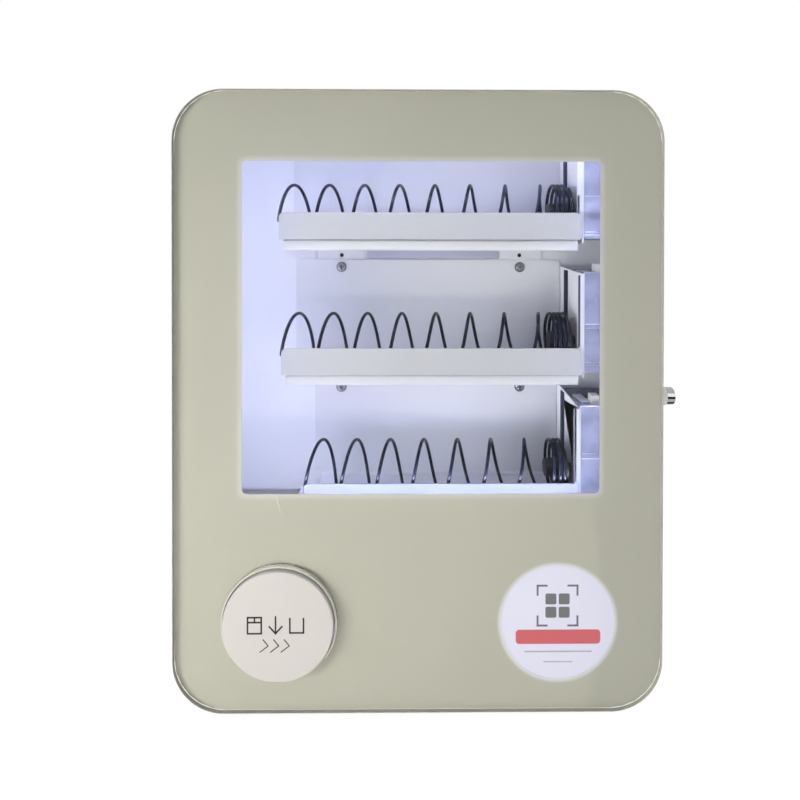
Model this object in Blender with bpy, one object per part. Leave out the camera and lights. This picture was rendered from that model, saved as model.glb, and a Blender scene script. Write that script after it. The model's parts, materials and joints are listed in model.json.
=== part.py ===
"""Counter vending machine for power banks: glass door, three spiral trays and a push flap.

The maker's own coordinates are used throughout: x to the right, depth measured back from
the face of the glass, height measured up from the lower edge of the glass. The function
place() turns them into the part's frame, whose origin is the centre of the cabinet's back,
with +X to the right, +Y to the back and +Z up. All sizes are in metres.
"""

import math

import bmesh
import bpy
import numpy as np
from mathutils import Matrix, Vector

# Overall: the height and the depth follow from the trays
PANEL_WIDTH = 0.400
HEADROOM = 0.0219
REAR_SPACE = 0.0177
PANEL_CORNER = 0.042
BODY_INSET = 0.004

# Clearances shared by all pieces
SEAT_GAP = 0.0003
RUNNING_GAP = 0.0003
OVERRUN = 0.004

# Glass, mask and window
GLASS_THICK = 0.005
GLASS_CHAMFER = 0.0012
MASK_THICK = 0.0004
MASK_MARGIN = 0.002
WINDOW_SIDE = 0.053
WINDOW_HEADER = 0.0576
WINDOW_SHIFT = 0.0022
WINDOW_SILL = 0.0004
WINDOW_CORNER = 0.0045

# Door pan
SHEET = 0.0012
PAN_WALL_INSET = 0.012
PAN_REAR_DEPTH = 0.026
PAN_WINDOW_MARGIN = 0.0035
LED_WIDTH = 0.008
LED_THICK = 0.0015
LED_MARGIN = 0.003
STRIKE_WIDTH = 0.008
STRIKE_DEPTH = 0.014
STRIKE_LENGTH = 0.024
STRIKE_RISE = 0.0095
STRIKE_ARM = 0.005
STRIKE_PLAY = 0.0006
GASKET_WIDTH = 0.003
GASKET_INSET = 0.0004
GASKET_THICK = 0.0012

# Cabinet
CABINET_FRONT = 0.009
CABINET_FLANGE = 0.0104
DECK_HEIGHT = 0.135
DECK_OVERLAP = 0.0015
DECK_FRONT = 0.028
DECK_SKIRT = 0.012
KEYHOLE_SPREAD = 0.260
KEYHOLE_DROP = 0.058
KEYHOLE_RADIUS = 0.005
KEYHOLE_NECK = 0.0025
KEYHOLE_RISE = 0.012
VENT_COUNT = 6
VENT_LENGTH = 0.040
VENT_WIDTH = 0.003
VENT_PITCH = 0.009
VENT_INSET = 0.091
VENT_BASE = 0.030
FOOT_RADIUS = 0.009
FOOT_HEIGHT = 0.0080
FOOT_CHAMFER = 0.0012
FOOT_INSET = 0.055
FOOT_FRONT = 0.024
FOOT_REAR_INSET = 0.018

# Hinges
HINGE_AXIS_INSET = 0.0011
HINGE_DEPTH = 0.0080
HINGE_LENGTH = 0.400
HINGE_KNUCKLES = 5
HINGE_RADIUS = 0.0023
HINGE_BORE = 0.0016
HINGE_PIN = 0.0013
HINGE_LEAF = 0.0010
HINGE_PIN_HEAD = 0.0022
HINGE_HEAD_THICK = 0.0012
DOOR_LEAF_REACH = 0.0089
CABINET_LEAF_DEPTH = 0.028

# Lock
LOCK_DEPTH = 0.020
LOCK_STICK_OUT = 0.0162
LOCK_COLLAR_STICK_OUT = 0.0090
LOCK_COLLAR_RADIUS = 0.0080
LOCK_BARREL_RADIUS = 0.0073
LOCK_THREAD_RADIUS = 0.0060
LOCK_INNER_REACH = 0.016
LOCK_PLUG_RADIUS = 0.0043
LOCK_CHAMFER = 0.0008
LOCK_HOLE_GAP = 0.0004
LOCK_NOTCH_REACH = 0.014
LOCK_NOTCH_DEPTH = 0.009
KEY_SLOT_LENGTH = 0.0060
KEY_SLOT_WIDTH = 0.0012
KEY_SLOT_DEPTH = 0.005
NUT_ACROSS_FLATS = 0.016
NUT_THICK = 0.0045
CAM_THICK = 0.0020
CAM_WIDTH = 0.008
CAM_LENGTH = 0.020
CAM_REST_ANGLE = math.radians(-60)
CAM_HUB_RADIUS = 0.005
CAM_SPINDLE_RADIUS = 0.003
CAM_PLAY = 0.0015
CAM_HEAD_RADIUS = 0.0042
CAM_HEAD_THICK = 0.0017

# Pickup flap
FLAP_INSET = 0.0865
FLAP_HEIGHT = 0.073
FLAP_RADIUS = 0.045
FLAP_HOLE_GAP = 0.0025
FLAP_PROUD = 0.0035
FLAP_PLATE = 0.0024
FLAP_RIM = 0.002
FLAP_RIM_DEPTH = 0.0095
FLAP_ROUNDING = 0.0014
FLAP_FLAT = 0.0014
FLAP_AXIS_RISE = 0.038
FLAP_AXIS_DEPTH = 0.014
FLAP_PIN_RADIUS = 0.0015
FLAP_PIN_LENGTH = 0.039
EAR_INNER = 0.010
EAR_THICK = 0.004
EAR_RADIUS = 0.0045
LUG_GAP = 0.0006
LUG_THICK = 0.004
COLLAR_WALL = 0.0025
COLLAR_REAR = 0.020
COLLAR_FLANGE = 0.0065
COLLAR_FLANGE_THICK = 0.0015
SPRING_RADIUS = 0.0034
SPRING_WIRE = 0.0008
SPRING_PITCH = 0.0014
SPRING_TURNS = 5.25
SPRING_ARM = 0.0080

# Round label and its light
LABEL_INSET = 0.085
LABEL_HEIGHT = 0.071
LABEL_RADIUS = 0.0469
LABEL_LAP = 0.0008
LABEL_THICK = 0.002
HOLDER_WALL = 0.0017
HOLDER_REAR = 0.016
HOLDER_FLANGE = 0.0035
LIGHT_BOARD_THICK = 0.0015

# Spiral trays, one row of values for each tier
TRAY_ABOVE_DECK = 0.042
TIER_PITCH = 0.118
TOP_TRAY_INSET = 0.0790
MIDDLE_TRAY_INSET = 0.0810
BOTTOM_TRAY_INSET = 0.1002
TOP_MOTOR_INSET = 0.0569
MIDDLE_MOTOR_INSET = 0.0560
BOTTOM_MOTOR_INSET = 0.0590
TOP_FIRST_PEAK_IN = 0.0080
MIDDLE_FIRST_PEAK_IN = 0.0081
BOTTOM_FIRST_PEAK_IN = 0.0094
TOP_BUNDLE = 0.0307
MIDDLE_BUNDLE = 0.0329
BOTTOM_BUNDLE = 0.0272
TOP_SCREW_DROP = 0.0081
MIDDLE_SCREW_DROP = 0.0074
BOTTOM_SCREW_DROP = 0.0106
LONG_COILS = 7
SHORT_COILS = 6.5

# Spiral
SPIRAL_FRONT = 0.0353
SPIRAL_RADIUS = 0.0242
WIRE_DIAMETER = 0.003
TIGHT_PITCH = 0.0040
BLEND_TURNS = 0.5
LEAD_IN_TURNS = 0.32
CURL_POINTS = 10
WIRE_END_GAP = 0.008
MINIMUM_COIL_GAP = 0.0004

# Drive hub
HUB_DISC_FRONT = 0.011
HUB_DISC_BACK = 0.007
HUB_CORE_RADIUS = 0.008
HUB_CORE_LENGTH = 0.013
SHAFT_RADIUS = 0.0035
SHAFT_REACH = 0.014
SHAFT_HOLE_GAP = 0.0008

# Tray
TRAY_FLOOR_GAP = 0.0006
TRAY_FRONT = 0.0330
TRAY_REAR_GAP = 0.0217
TRAY_TOP_GAP = 0.0093
TRAY_OVERHANG = 0.004
TRAY_INSET_LEFT = 0.0035
TRAY_INSET_RIGHT = 0.0040
TRAY_FLANGE_DROP = 0.0356
TRAY_RETURN = 0.014
SHEET_BEND = 0.002
TRAY_REAR_BEND = 0.0045
TAB_WIDTH = 0.003
TAB_LENGTH = 0.0174
TAB_X_SHARES = (0.081, 0.266, 0.933)
GUARD_DEPTH = 0.031
GUARD_THICK = 0.0014
GUARD_DROP = 0.0026
GUARD_CORNER = 0.0042
GUARD_FOOT = 0.011
GUARD_RIGHT_GAP = 0.002
SCREW_LEFT_INSET = 0.1227
SCREW_RIGHT_INSET = 0.0970
SCREW_HEAD_RADIUS = 0.004
SCREW_HEAD_HEIGHT = 0.0024
SCREW_SHANK_RADIUS = 0.0018
SCREW_HOLE_GAP = 0.0003
SCREW_LENGTH = 0.009
SPARE_HOLE_DROP = 0.0404
SLOT_LEFT_INSET = 0.1482
SLOT_RIGHT_INSET = 0.1179
SLOT_DROP = 0.0439
SLOT_HEIGHT = 0.0120
CLIP_WIDTH = 0.014
CLIP_THICK = 0.006

# Motor side
MOTOR_PLATE_FRONT = 0.0334
MOTOR_PLATE_DROP = 0.029
MOTOR_PLATE_FRONT_STEP = 0.0111
MOTOR_PLATE_BACK_STEP = 0.0066
MOTOR_FLANGE = 0.0045
MOTOR_SLOT_INSET = 0.0159
MOTOR_SLOT_WIDTH = 0.0085
MOTOR_SLOT_BASE = 0.018
MOTOR_SLOT_STEP = 0.0171
CAN_WIDTH = 0.040
CAN_FRONT = 0.038
CAN_REAR_GAP = 0.0104
CAN_DROP = 0.025
CAN_STEP = 0.0094
CAN_WALL = 0.001
CAN_LINING_GAP = 0.0016
GEARBOX_STEP_DOWN = 0.0067
GEARBOX_STEP = 0.010
PLUG_X = 0.0145
PLUG_WIDTH = 0.007
PLUG_FRONT = 0.045
PLUG_LENGTH = 0.010
PLUG_HEIGHT = 0.0135

# Pickup bin
BIN_REACH_LEFT = 0.0655
BIN_REACH_RIGHT = 0.0535
BIN_BASE = 0.0145
BIN_FRONT = 0.028
BIN_REAR_GAP = 0.0028
BIN_WALL = 0.0015
BIN_RELIEF = 0.010
BIN_LIP = 0.006

# Electronics in the lower right compartment
SUPPLY_INSET = 0.048
SUPPLY_WIDTH = 0.098
SUPPLY_HEIGHT = 0.034
SUPPLY_FRONT = 0.060
SUPPLY_REAR_GAP = 0.0128
SUPPLY_BEVEL = 0.002
BOARD_LEFT_GAP = 0.015
BOARD_RIGHT_GAP = 0.010
CHIP_X_SHARES = (0.4, 0.6)
CHIP_HEIGHT_SHARES = (0.23, 0.45)
SOCKET_X_SHARES = (0.2, 0.4, 0.6)
SOCKET_WIDTH_SHARE = 0.15
SOCKET_HEIGHT_SHARES = (0.77, 0.89)
BOARD_BASE = 0.030
BOARD_HEIGHT = 0.075
BOARD_THICK = 0.0016
BOARD_STANDOFF = 0.005
BOARD_HOLE_INSET = 0.005
CHIP_THICK = 0.0025
SOCKET_THICK = 0.008
POST_RADIUS = 0.003
INLET_INSET = 0.033
INLET_HEIGHT = 0.052
INLET_RADIUS = 0.0057
INLET_FLANGE = 0.008
INLET_LENGTH = 0.012
INLET_FLANGE_THICK = 0.0018
INLET_BORE = 0.003
INLET_PIN = 0.001

# How finely round shapes are divided
CORNER_STEPS = 6
SMALL_CORNER_STEPS = 3
DISC_STEPS = 40
BARREL_STEPS = 24
SMALL_STEPS = 12
BEND_STEPS = 3
SMOOTH_ANGLE = math.radians(35)
MERGE_DISTANCE = 0.000001

# Places worked out from the driving sizes
BOTTOM_AXIS = DECK_HEIGHT + TRAY_ABOVE_DECK
MIDDLE_AXIS = BOTTOM_AXIS + TIER_PITCH
TOP_AXIS = MIDDLE_AXIS + TIER_PITCH
TRAY_TOP_RISE = TIER_PITCH - TRAY_FLANGE_DROP - TRAY_TOP_GAP
PANEL_HEIGHT = TOP_AXIS + TRAY_TOP_RISE + HEADROOM
WINDOW_WIDTH = PANEL_WIDTH - 2 * WINDOW_SIDE
MIDDLE_HEIGHT = PANEL_HEIGHT / 2
BODY_WIDTH = PANEL_WIDTH - 2 * BODY_INSET
BODY_HEIGHT = PANEL_HEIGHT - 2 * BODY_INSET
BODY_CORNER = PANEL_CORNER - BODY_INSET
BODY_LEFT = -BODY_WIDTH / 2
BODY_RIGHT = BODY_WIDTH / 2
MASK_FRONT = GLASS_THICK + SEAT_GAP
PAN_FRONT = MASK_FRONT + MASK_THICK + SEAT_GAP
PAN_BACK = PAN_FRONT + SHEET
DOOR_PARTS_FRONT = PAN_BACK + SEAT_GAP
PAN_WALL_RIGHT = BODY_RIGHT - PAN_WALL_INSET
WIRE_RADIUS = WIRE_DIAMETER / 2
SPIRAL_DEPTH = SPIRAL_FRONT + WIRE_RADIUS + SPIRAL_RADIUS
TRAY_BACK = SPIRAL_DEPTH + SPIRAL_RADIUS + WIRE_RADIUS + TRAY_REAR_GAP
MOTOR_PLATE_FRONT_RISE = TRAY_TOP_RISE - MOTOR_PLATE_FRONT_STEP
MOTOR_PLATE_BACK_RISE = TRAY_TOP_RISE - MOTOR_PLATE_BACK_STEP
MOTOR_SLOT_RISE = TRAY_TOP_RISE - MOTOR_SLOT_STEP
MOTOR_SLOT_BACK = TRAY_BACK - MOTOR_SLOT_INSET
MOTOR_SLOT_FRONT = MOTOR_SLOT_BACK - MOTOR_SLOT_WIDTH
CAN_BACK = TRAY_BACK - CAN_REAR_GAP
CAN_RISE = TRAY_TOP_RISE - CAN_STEP
GEARBOX_RISE = CAN_RISE - GEARBOX_STEP_DOWN
WINDOW_BASE = BOTTOM_AXIS + WINDOW_SILL
WINDOW_HEIGHT = PANEL_HEIGHT - WINDOW_HEADER - WINDOW_BASE
WINDOW_CENTRE = WINDOW_BASE + WINDOW_HEIGHT / 2
INNER_PANEL_FRONT = TRAY_BACK + SHEET + SEAT_GAP
INNER_PANEL_BACK = INNER_PANEL_FRONT + SHEET
BACK_INNER = INNER_PANEL_BACK + REAR_SPACE
MACHINE_DEPTH = BACK_INNER + SHEET
TOP_TRAY_LEFT = -PANEL_WIDTH / 2 + TOP_TRAY_INSET
MIDDLE_TRAY_LEFT = -PANEL_WIDTH / 2 + MIDDLE_TRAY_INSET
BOTTOM_TRAY_LEFT = -PANEL_WIDTH / 2 + BOTTOM_TRAY_INSET
TOP_MOTOR_X = PANEL_WIDTH / 2 - TOP_MOTOR_INSET
MIDDLE_MOTOR_X = PANEL_WIDTH / 2 - MIDDLE_MOTOR_INSET
BOTTOM_MOTOR_X = PANEL_WIDTH / 2 - BOTTOM_MOTOR_INSET
SCREW_LEFT_X = -PANEL_WIDTH / 2 + SCREW_LEFT_INSET
SCREW_RIGHT_X = PANEL_WIDTH / 2 - SCREW_RIGHT_INSET
SLOT_LEFT = -PANEL_WIDTH / 2 + SLOT_LEFT_INSET
SLOT_RIGHT = PANEL_WIDTH / 2 - SLOT_RIGHT_INSET
DECK_LEFT = TOP_TRAY_LEFT + DECK_OVERLAP
FLAP_X = -PANEL_WIDTH / 2 + FLAP_INSET
LABEL_X = PANEL_WIDTH / 2 - LABEL_INSET
BIN_LEFT = FLAP_X - BIN_REACH_LEFT
BIN_RIGHT = FLAP_X + BIN_REACH_RIGHT
SUPPLY_RIGHT = BODY_RIGHT - SUPPLY_INSET
SUPPLY_LEFT = SUPPLY_RIGHT - SUPPLY_WIDTH
BOARD_LEFT = BIN_RIGHT + BOARD_LEFT_GAP
BOARD_WIDTH = SUPPLY_LEFT - BOARD_RIGHT_GAP - BOARD_LEFT
LOCK_END = PANEL_WIDTH / 2 + LOCK_STICK_OUT
LOCK_COLLAR_END = PANEL_WIDTH / 2 + LOCK_COLLAR_STICK_OUT
LOCK_INNER_END = BODY_RIGHT - LOCK_INNER_REACH
FLAP_HOLE_RADIUS = FLAP_RADIUS + FLAP_HOLE_GAP
FLAP_AXIS_HEIGHT = FLAP_HEIGHT + FLAP_AXIS_RISE
LABEL_DISC_RADIUS = LABEL_RADIUS + LABEL_LAP
HINGE_X = -PANEL_WIDTH / 2 + HINGE_AXIS_INSET
TRAY_FLOOR_DROP = SPIRAL_RADIUS + WIRE_RADIUS + TRAY_FLOOR_GAP
HUB_DISC_RADIUS = SPIRAL_RADIUS * math.cos(math.pi / CURL_POINTS) - WIRE_RADIUS - RUNNING_GAP

# Name, axis, left end, first and last wide peak, wide coils, motor plate and screws
TIERS = (
    ("top", TOP_AXIS, TOP_TRAY_LEFT, TOP_TRAY_LEFT + TOP_FIRST_PEAK_IN, TOP_MOTOR_X - TOP_BUNDLE,
     LONG_COILS, TOP_MOTOR_X, TRAY_TOP_RISE - TOP_SCREW_DROP),
    ("middle", MIDDLE_AXIS, MIDDLE_TRAY_LEFT, MIDDLE_TRAY_LEFT + MIDDLE_FIRST_PEAK_IN,
     MIDDLE_MOTOR_X - MIDDLE_BUNDLE, LONG_COILS, MIDDLE_MOTOR_X, TRAY_TOP_RISE - MIDDLE_SCREW_DROP),
    ("bottom", BOTTOM_AXIS, BOTTOM_TRAY_LEFT, BOTTOM_TRAY_LEFT + BOTTOM_FIRST_PEAK_IN,
     BOTTOM_MOTOR_X - BOTTOM_BUNDLE, SHORT_COILS, BOTTOM_MOTOR_X, TRAY_TOP_RISE - BOTTOM_SCREW_DROP),
)

# Colour, roughness and metallic value of each finish
FINISHES = {
    "clear_glass": ((0.80, 0.84, 0.80), 0.05, 0.0),
    "champagne_paint": ((0.44, 0.43, 0.35), 0.25, 0.0),
    "white_steel": ((0.80, 0.80, 0.82), 0.40, 0.0),
    "white_plastic": ((0.82, 0.80, 0.77), 0.35, 0.0),
    "lit_white": ((0.86, 0.85, 0.92), 0.50, 0.0),
    "black_wire": ((0.015, 0.017, 0.03), 0.25, 0.0),
    "black_plastic": ((0.03, 0.03, 0.035), 0.45, 0.0),
    "galvanised": ((0.62, 0.62, 0.68), 0.30, 1.0),
    "bare_steel": ((0.60, 0.60, 0.60), 0.30, 1.0),
    "chrome": ((0.80, 0.80, 0.80), 0.12, 1.0),
    "cream_plastic": ((0.74, 0.72, 0.66), 0.45, 0.0),
    "rubber": ((0.03, 0.03, 0.03), 0.80, 0.0),
    "grey_plastic": ((0.35, 0.36, 0.40), 0.50, 0.0),
    "board_green": ((0.03, 0.16, 0.07), 0.45, 0.0),
}


def place(x, depth, height):
    """Turn the maker's coordinates into the part's frame."""
    return Vector((x, depth - MACHINE_DEPTH, height - MIDDLE_HEIGHT))


def clear_scene():
    """Remove every object and mesh that the file opened with."""
    for item in list(bpy.data.objects):
        bpy.data.objects.remove(item, do_unlink=True)
    for mesh in list(bpy.data.meshes):
        bpy.data.meshes.remove(mesh)


def give_finish(item, finish):
    """Give an object its own Principled material."""
    colour, roughness, metallic = FINISHES[finish]
    material = bpy.data.materials.new(item.name + "_" + finish)
    material.use_nodes = True
    shader = material.node_tree.nodes["Principled BSDF"]
    shader.inputs["Base Color"].default_value = (*colour, 1)
    shader.inputs["Roughness"].default_value = roughness
    shader.inputs["Metallic"].default_value = metallic
    item.data.materials.clear()
    item.data.materials.append(material)
    return item


def mesh_object(name, bm):
    """Close a bmesh into a named object with its faces pointing outwards."""
    bmesh.ops.recalc_face_normals(bm, faces=bm.faces)
    mesh = bpy.data.meshes.new(name)
    bm.to_mesh(mesh)
    bm.free()
    item = bpy.data.objects.new(name, mesh)
    bpy.context.scene.collection.objects.link(item)
    return item


def smooth(item):
    """Shade round faces smooth and keep edges past the smoothing angle sharp."""
    item.data.shade_smooth()
    item.data.set_sharp_from_angle(angle=SMOOTH_ANGLE)
    return item


def arc(centre_u, centre_v, radius, start, stop, steps):
    """Points along an arc from one angle to another, both ends included."""
    points = []
    for step in range(steps + 1):
        angle = start + (stop - start) * step / steps
        points.append((centre_u + radius * math.cos(angle), centre_v + radius * math.sin(angle)))
    return points


def circle(centre_u, centre_v, radius, steps):
    """Points round a whole circle."""
    return arc(centre_u, centre_v, radius, 0, 2 * math.pi, steps)[:-1]


def rounded_rectangle(centre_u, centre_v, width, height, radius, steps=CORNER_STEPS):
    """Points round a rectangle with round corners, anticlockwise."""
    reach_u = width / 2 - radius
    reach_v = height / 2 - radius
    quarter = math.pi / 2
    points = []
    for turn, (side_u, side_v) in enumerate(((1, 1), (-1, 1), (-1, -1), (1, -1))):
        points += arc(centre_u + side_u * reach_u, centre_v + side_v * reach_v, radius,
                      turn * quarter, (turn + 1) * quarter, steps)
    return points


def rectangle(left, right, low, high):
    """Points round a plain rectangle."""
    return [(left, low), (right, low), (right, high), (left, high)]


def along(axis, u, v, w):
    """Place an outline point (u, v) at w along x, depth or height."""
    if axis == "x":
        return place(w, u, v)
    if axis == "depth":
        return place(u, w, v)
    return place(u, v, w)


def prism(name, outline, axis, start, stop, holes=()):
    """Extrude a flat outline, with its holes, along x, depth or height."""
    bm = bmesh.new()
    edges = []
    for loop in (outline, *holes):
        verts = [bm.verts.new(along(axis, u, v, start)) for u, v in loop]
        edges += [bm.edges.new((verts[i - 1], verts[i])) for i in range(len(verts))]
    if holes:
        made = bmesh.ops.triangle_fill(bm, use_beauty=True, edges=edges)
        faces = [item for item in made["geom"] if isinstance(item, bmesh.types.BMFace)]
    else:
        faces = [bm.faces.new(bm.verts)]
    grown = bmesh.ops.extrude_face_region(bm, geom=faces)["geom"]
    moved = [item for item in grown if isinstance(item, bmesh.types.BMVert)]
    shift = along(axis, 0, 0, stop) - along(axis, 0, 0, start)
    bmesh.ops.translate(bm, verts=moved, vec=shift)
    return mesh_object(name, bm)


def box(name, left, right, front, back, low, high):
    """A plain block between two corners."""
    return prism(name, rectangle(left, right, low, high), "depth", front, back)


def turned(name, profile, axis, centre, steps):
    """Spin a profile of (distance along the axis, radius) round x, depth or height.

    The centre gives the two other coordinates of the axis. A profile that starts and ends
    on the axis makes a solid, and one that stays clear of it is closed into a ring.
    """
    bm = bmesh.new()
    verts = []
    for distance, radius in profile:
        if axis == "x":
            verts.append(bm.verts.new(place(distance, centre[0], centre[1] + radius)))
        elif axis == "depth":
            verts.append(bm.verts.new(place(centre[0], distance, centre[1] + radius)))
        else:
            verts.append(bm.verts.new(place(centre[0] + radius, centre[1], distance)))
    ring = profile[0][1] > 0
    first = 0 if ring else 1
    edges = [bm.edges.new((verts[i - 1], verts[i])) for i in range(first, len(verts))]
    middle = {"x": place(0, *centre), "depth": place(centre[0], 0, centre[1]),
              "height": place(centre[0], centre[1], 0)}[axis]
    spin_axis = {"x": (1, 0, 0), "depth": (0, 1, 0), "height": (0, 0, 1)}[axis]
    bmesh.ops.spin(bm, geom=verts + edges, cent=middle, axis=spin_axis,
                   angle=2 * math.pi, steps=steps, use_merge=True)
    bmesh.ops.remove_doubles(bm, verts=bm.verts, dist=MERGE_DISTANCE)
    return smooth(mesh_object(name, bm))


def frame_ring(name, width, height, corner, profile, steps=CORNER_STEPS):
    """Carry a closed profile of (inset, depth) round a rounded rectangle."""
    bm = bmesh.new()
    loops = []
    for inset, depth in profile:
        outline = rounded_rectangle(0, MIDDLE_HEIGHT, width - 2 * inset, height - 2 * inset,
                                    corner - inset, steps)
        loops.append([bm.verts.new(place(u, depth, v)) for u, v in outline])
    count = len(loops[0])
    for index, loop in enumerate(loops):
        other = loops[index - 1]
        for i in range(count):
            bm.faces.new((other[i - 1], other[i], loop[i], loop[i - 1]))
    return smooth(mesh_object(name, bm))


def rotated(vector, angle):
    """Turn a flat vector anticlockwise."""
    return (vector[0] * math.cos(angle) - vector[1] * math.sin(angle),
            vector[0] * math.sin(angle) + vector[1] * math.cos(angle))


def sheet_outline(path, thickness, bends, steps=BEND_STEPS):
    """Outline of a folded sheet whose middle follows a path, with an arc at each fold.

    The bends are the middle radii of the folds, in order.
    """
    heading = [np.subtract(path[i + 1], path[i]) for i in range(len(path) - 1)]
    heading = [step / np.linalg.norm(step) for step in heading]
    middle = [(np.array(path[0]), heading[0])]
    for i in range(1, len(path) - 1):
        before = heading[i - 1]
        after = heading[i]
        bend = bends[i - 1]
        turn = math.atan2(before[0] * after[1] - before[1] * after[0], float(np.dot(before, after)))
        side = math.copysign(1, turn)
        start = np.array(path[i]) - before * bend * math.tan(abs(turn) / 2)
        hub = start + np.array(rotated(before, side * math.pi / 2)) * bend
        for step in range(steps + 1):
            part = turn * step / steps
            spoke = hub + np.array(rotated(start - hub, part))
            middle.append((spoke, np.array(rotated(before, part))))
    middle.append((np.array(path[-1]), heading[-1]))
    left = []
    right = []
    for point, direction in middle:
        normal = np.array((-direction[1], direction[0])) * thickness / 2
        left.append(tuple(point + normal))
        right.append(tuple(point - normal))
    return left + right[::-1]


def apply_tools(body, tools, operation):
    """Join tools to a body, or cut them from it, then remove the tools."""
    for tool in tools:
        modifier = body.modifiers.new(operation.lower(), "BOOLEAN")
        modifier.operation = operation
        modifier.object = tool
        tool.hide_render = True
        tool.display_type = "WIRE"
    bpy.context.view_layer.update()
    shaped = body.evaluated_get(bpy.context.evaluated_depsgraph_get())
    mesh = bpy.data.meshes.new_from_object(shaped)
    body.modifiers.clear()
    body.data = mesh
    for tool in tools:
        bpy.data.objects.remove(tool, do_unlink=True)
    return body


def join(body, *tools):
    """Weld overlapping shapes into one."""
    return apply_tools(body, tools, "UNION")


def cut(body, *tools):
    """Cut shapes out of a body."""
    return apply_tools(body, tools, "DIFFERENCE")


def set_origin(item, where):
    """Move an object's origin to a place and leave its shape where it is."""
    item.data.transform(Matrix.Translation(-where))
    item.location = where
    return item


def hang(parent, *items):
    """Parent pieces to a moving piece and leave them where they are."""
    bpy.context.view_layer.update()
    for item in items:
        item.parent = parent
        item.matrix_parent_inverse = parent.matrix_world.inverted()


def tube(name, points, diameter):
    """One unbroken round tube along a list of points."""
    curve = bpy.data.curves.new(name, "CURVE")
    curve.dimensions = "3D"
    curve.bevel_depth = diameter / 2
    curve.bevel_resolution = 1
    curve.use_fill_caps = True
    spline = curve.splines.new("POLY")
    spline.points.add(len(points) - 1)
    for point, target in zip(spline.points, points):
        point.co = (*target, 1)
    spline.use_smooth = True
    item = bpy.data.objects.new(name, curve)
    bpy.context.scene.collection.objects.link(item)
    return item


def least_gap(points, diameter, points_per_curl):
    """Least free gap between one curl and the next, measured on the tube's own points."""
    fine = []
    for start, stop in zip(points[:-1], points[1:]):
        for part in range(4):
            fine.append(np.array(start) + (np.array(stop) - np.array(start)) * part / 4)
    fine = np.array(fine)
    apart = np.linalg.norm(fine[:, None] - fine[None, :], axis=2)
    order = np.arange(len(fine))
    near = np.abs(order[:, None] - order[None, :]) < points_per_curl * 2
    apart[near] = np.inf
    return float(apart.min()) - diameter


# Door

def make_glass_panel():
    """Tempered glass front with a chamfered edge and the round hole of the flap."""
    outline = rounded_rectangle(0, MIDDLE_HEIGHT, PANEL_WIDTH, PANEL_HEIGHT, PANEL_CORNER)
    hole = circle(FLAP_X, FLAP_HEIGHT, FLAP_HOLE_RADIUS, DISC_STEPS)
    glass = prism("glass_panel", outline, "depth", 0, GLASS_THICK, [hole])
    edge_profile = ((-OVERRUN, -OVERRUN), (GLASS_CHAMFER + OVERRUN, -OVERRUN), (0, GLASS_CHAMFER),
                    (-OVERRUN, GLASS_CHAMFER))
    bevel_cutter = frame_ring("bevel_cutter", PANEL_WIDTH, PANEL_HEIGHT, PANEL_CORNER, edge_profile)
    return give_finish(cut(glass, bevel_cutter), "clear_glass")


def make_mask_film():
    """Coloured mask behind the glass, clear at the window, the label and the flap."""
    outline = rounded_rectangle(0, MIDDLE_HEIGHT, PANEL_WIDTH - 2 * MASK_MARGIN,
                                PANEL_HEIGHT - 2 * MASK_MARGIN, PANEL_CORNER - MASK_MARGIN)
    window = rounded_rectangle(WINDOW_SHIFT, WINDOW_CENTRE, WINDOW_WIDTH, WINDOW_HEIGHT,
                               WINDOW_CORNER, SMALL_CORNER_STEPS)
    flap_hole = circle(FLAP_X, FLAP_HEIGHT, FLAP_HOLE_RADIUS, DISC_STEPS)
    label_hole = circle(LABEL_X, LABEL_HEIGHT, LABEL_RADIUS, DISC_STEPS)
    film = prism("mask_film", outline, "depth", MASK_FRONT, MASK_FRONT + MASK_THICK,
                 [window, flap_hole, label_hole])
    return give_finish(film, "champagne_paint")


def make_door_pan():
    """Steel pan that carries the glass, with a wall all round and a notch for the lock."""
    outline = rounded_rectangle(0, MIDDLE_HEIGHT, BODY_WIDTH, BODY_HEIGHT, BODY_CORNER)
    window = rounded_rectangle(WINDOW_SHIFT, WINDOW_CENTRE, WINDOW_WIDTH + 2 * PAN_WINDOW_MARGIN,
                               WINDOW_HEIGHT + 2 * PAN_WINDOW_MARGIN,
                               WINDOW_CORNER + PAN_WINDOW_MARGIN, SMALL_CORNER_STEPS)
    flap_hole = circle(FLAP_X, FLAP_HEIGHT, FLAP_HOLE_RADIUS, DISC_STEPS)
    label_hole = circle(LABEL_X, LABEL_HEIGHT, LABEL_DISC_RADIUS + SEAT_GAP, DISC_STEPS)
    pan = prism("door_pan", outline, "depth", PAN_FRONT, PAN_BACK, [window, flap_hole, label_hole])
    wall = frame_ring("pan_wall", BODY_WIDTH, BODY_HEIGHT, BODY_CORNER,
                      ((PAN_WALL_INSET, PAN_FRONT + SHEET / 2), (PAN_WALL_INSET, PAN_REAR_DEPTH),
                       (PAN_WALL_INSET + SHEET, PAN_REAR_DEPTH),
                       (PAN_WALL_INSET + SHEET, PAN_FRONT + SHEET / 2)))
    join(pan, wall)
    notch = box("lock_notch", PAN_WALL_RIGHT - SHEET - OVERRUN, PAN_WALL_RIGHT + OVERRUN,
                LOCK_DEPTH - LOCK_NOTCH_DEPTH, PAN_REAR_DEPTH + OVERRUN,
                MIDDLE_HEIGHT - LOCK_NOTCH_REACH, MIDDLE_HEIGHT + LOCK_NOTCH_REACH)
    return give_finish(smooth(cut(pan, notch)), "white_steel")


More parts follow.
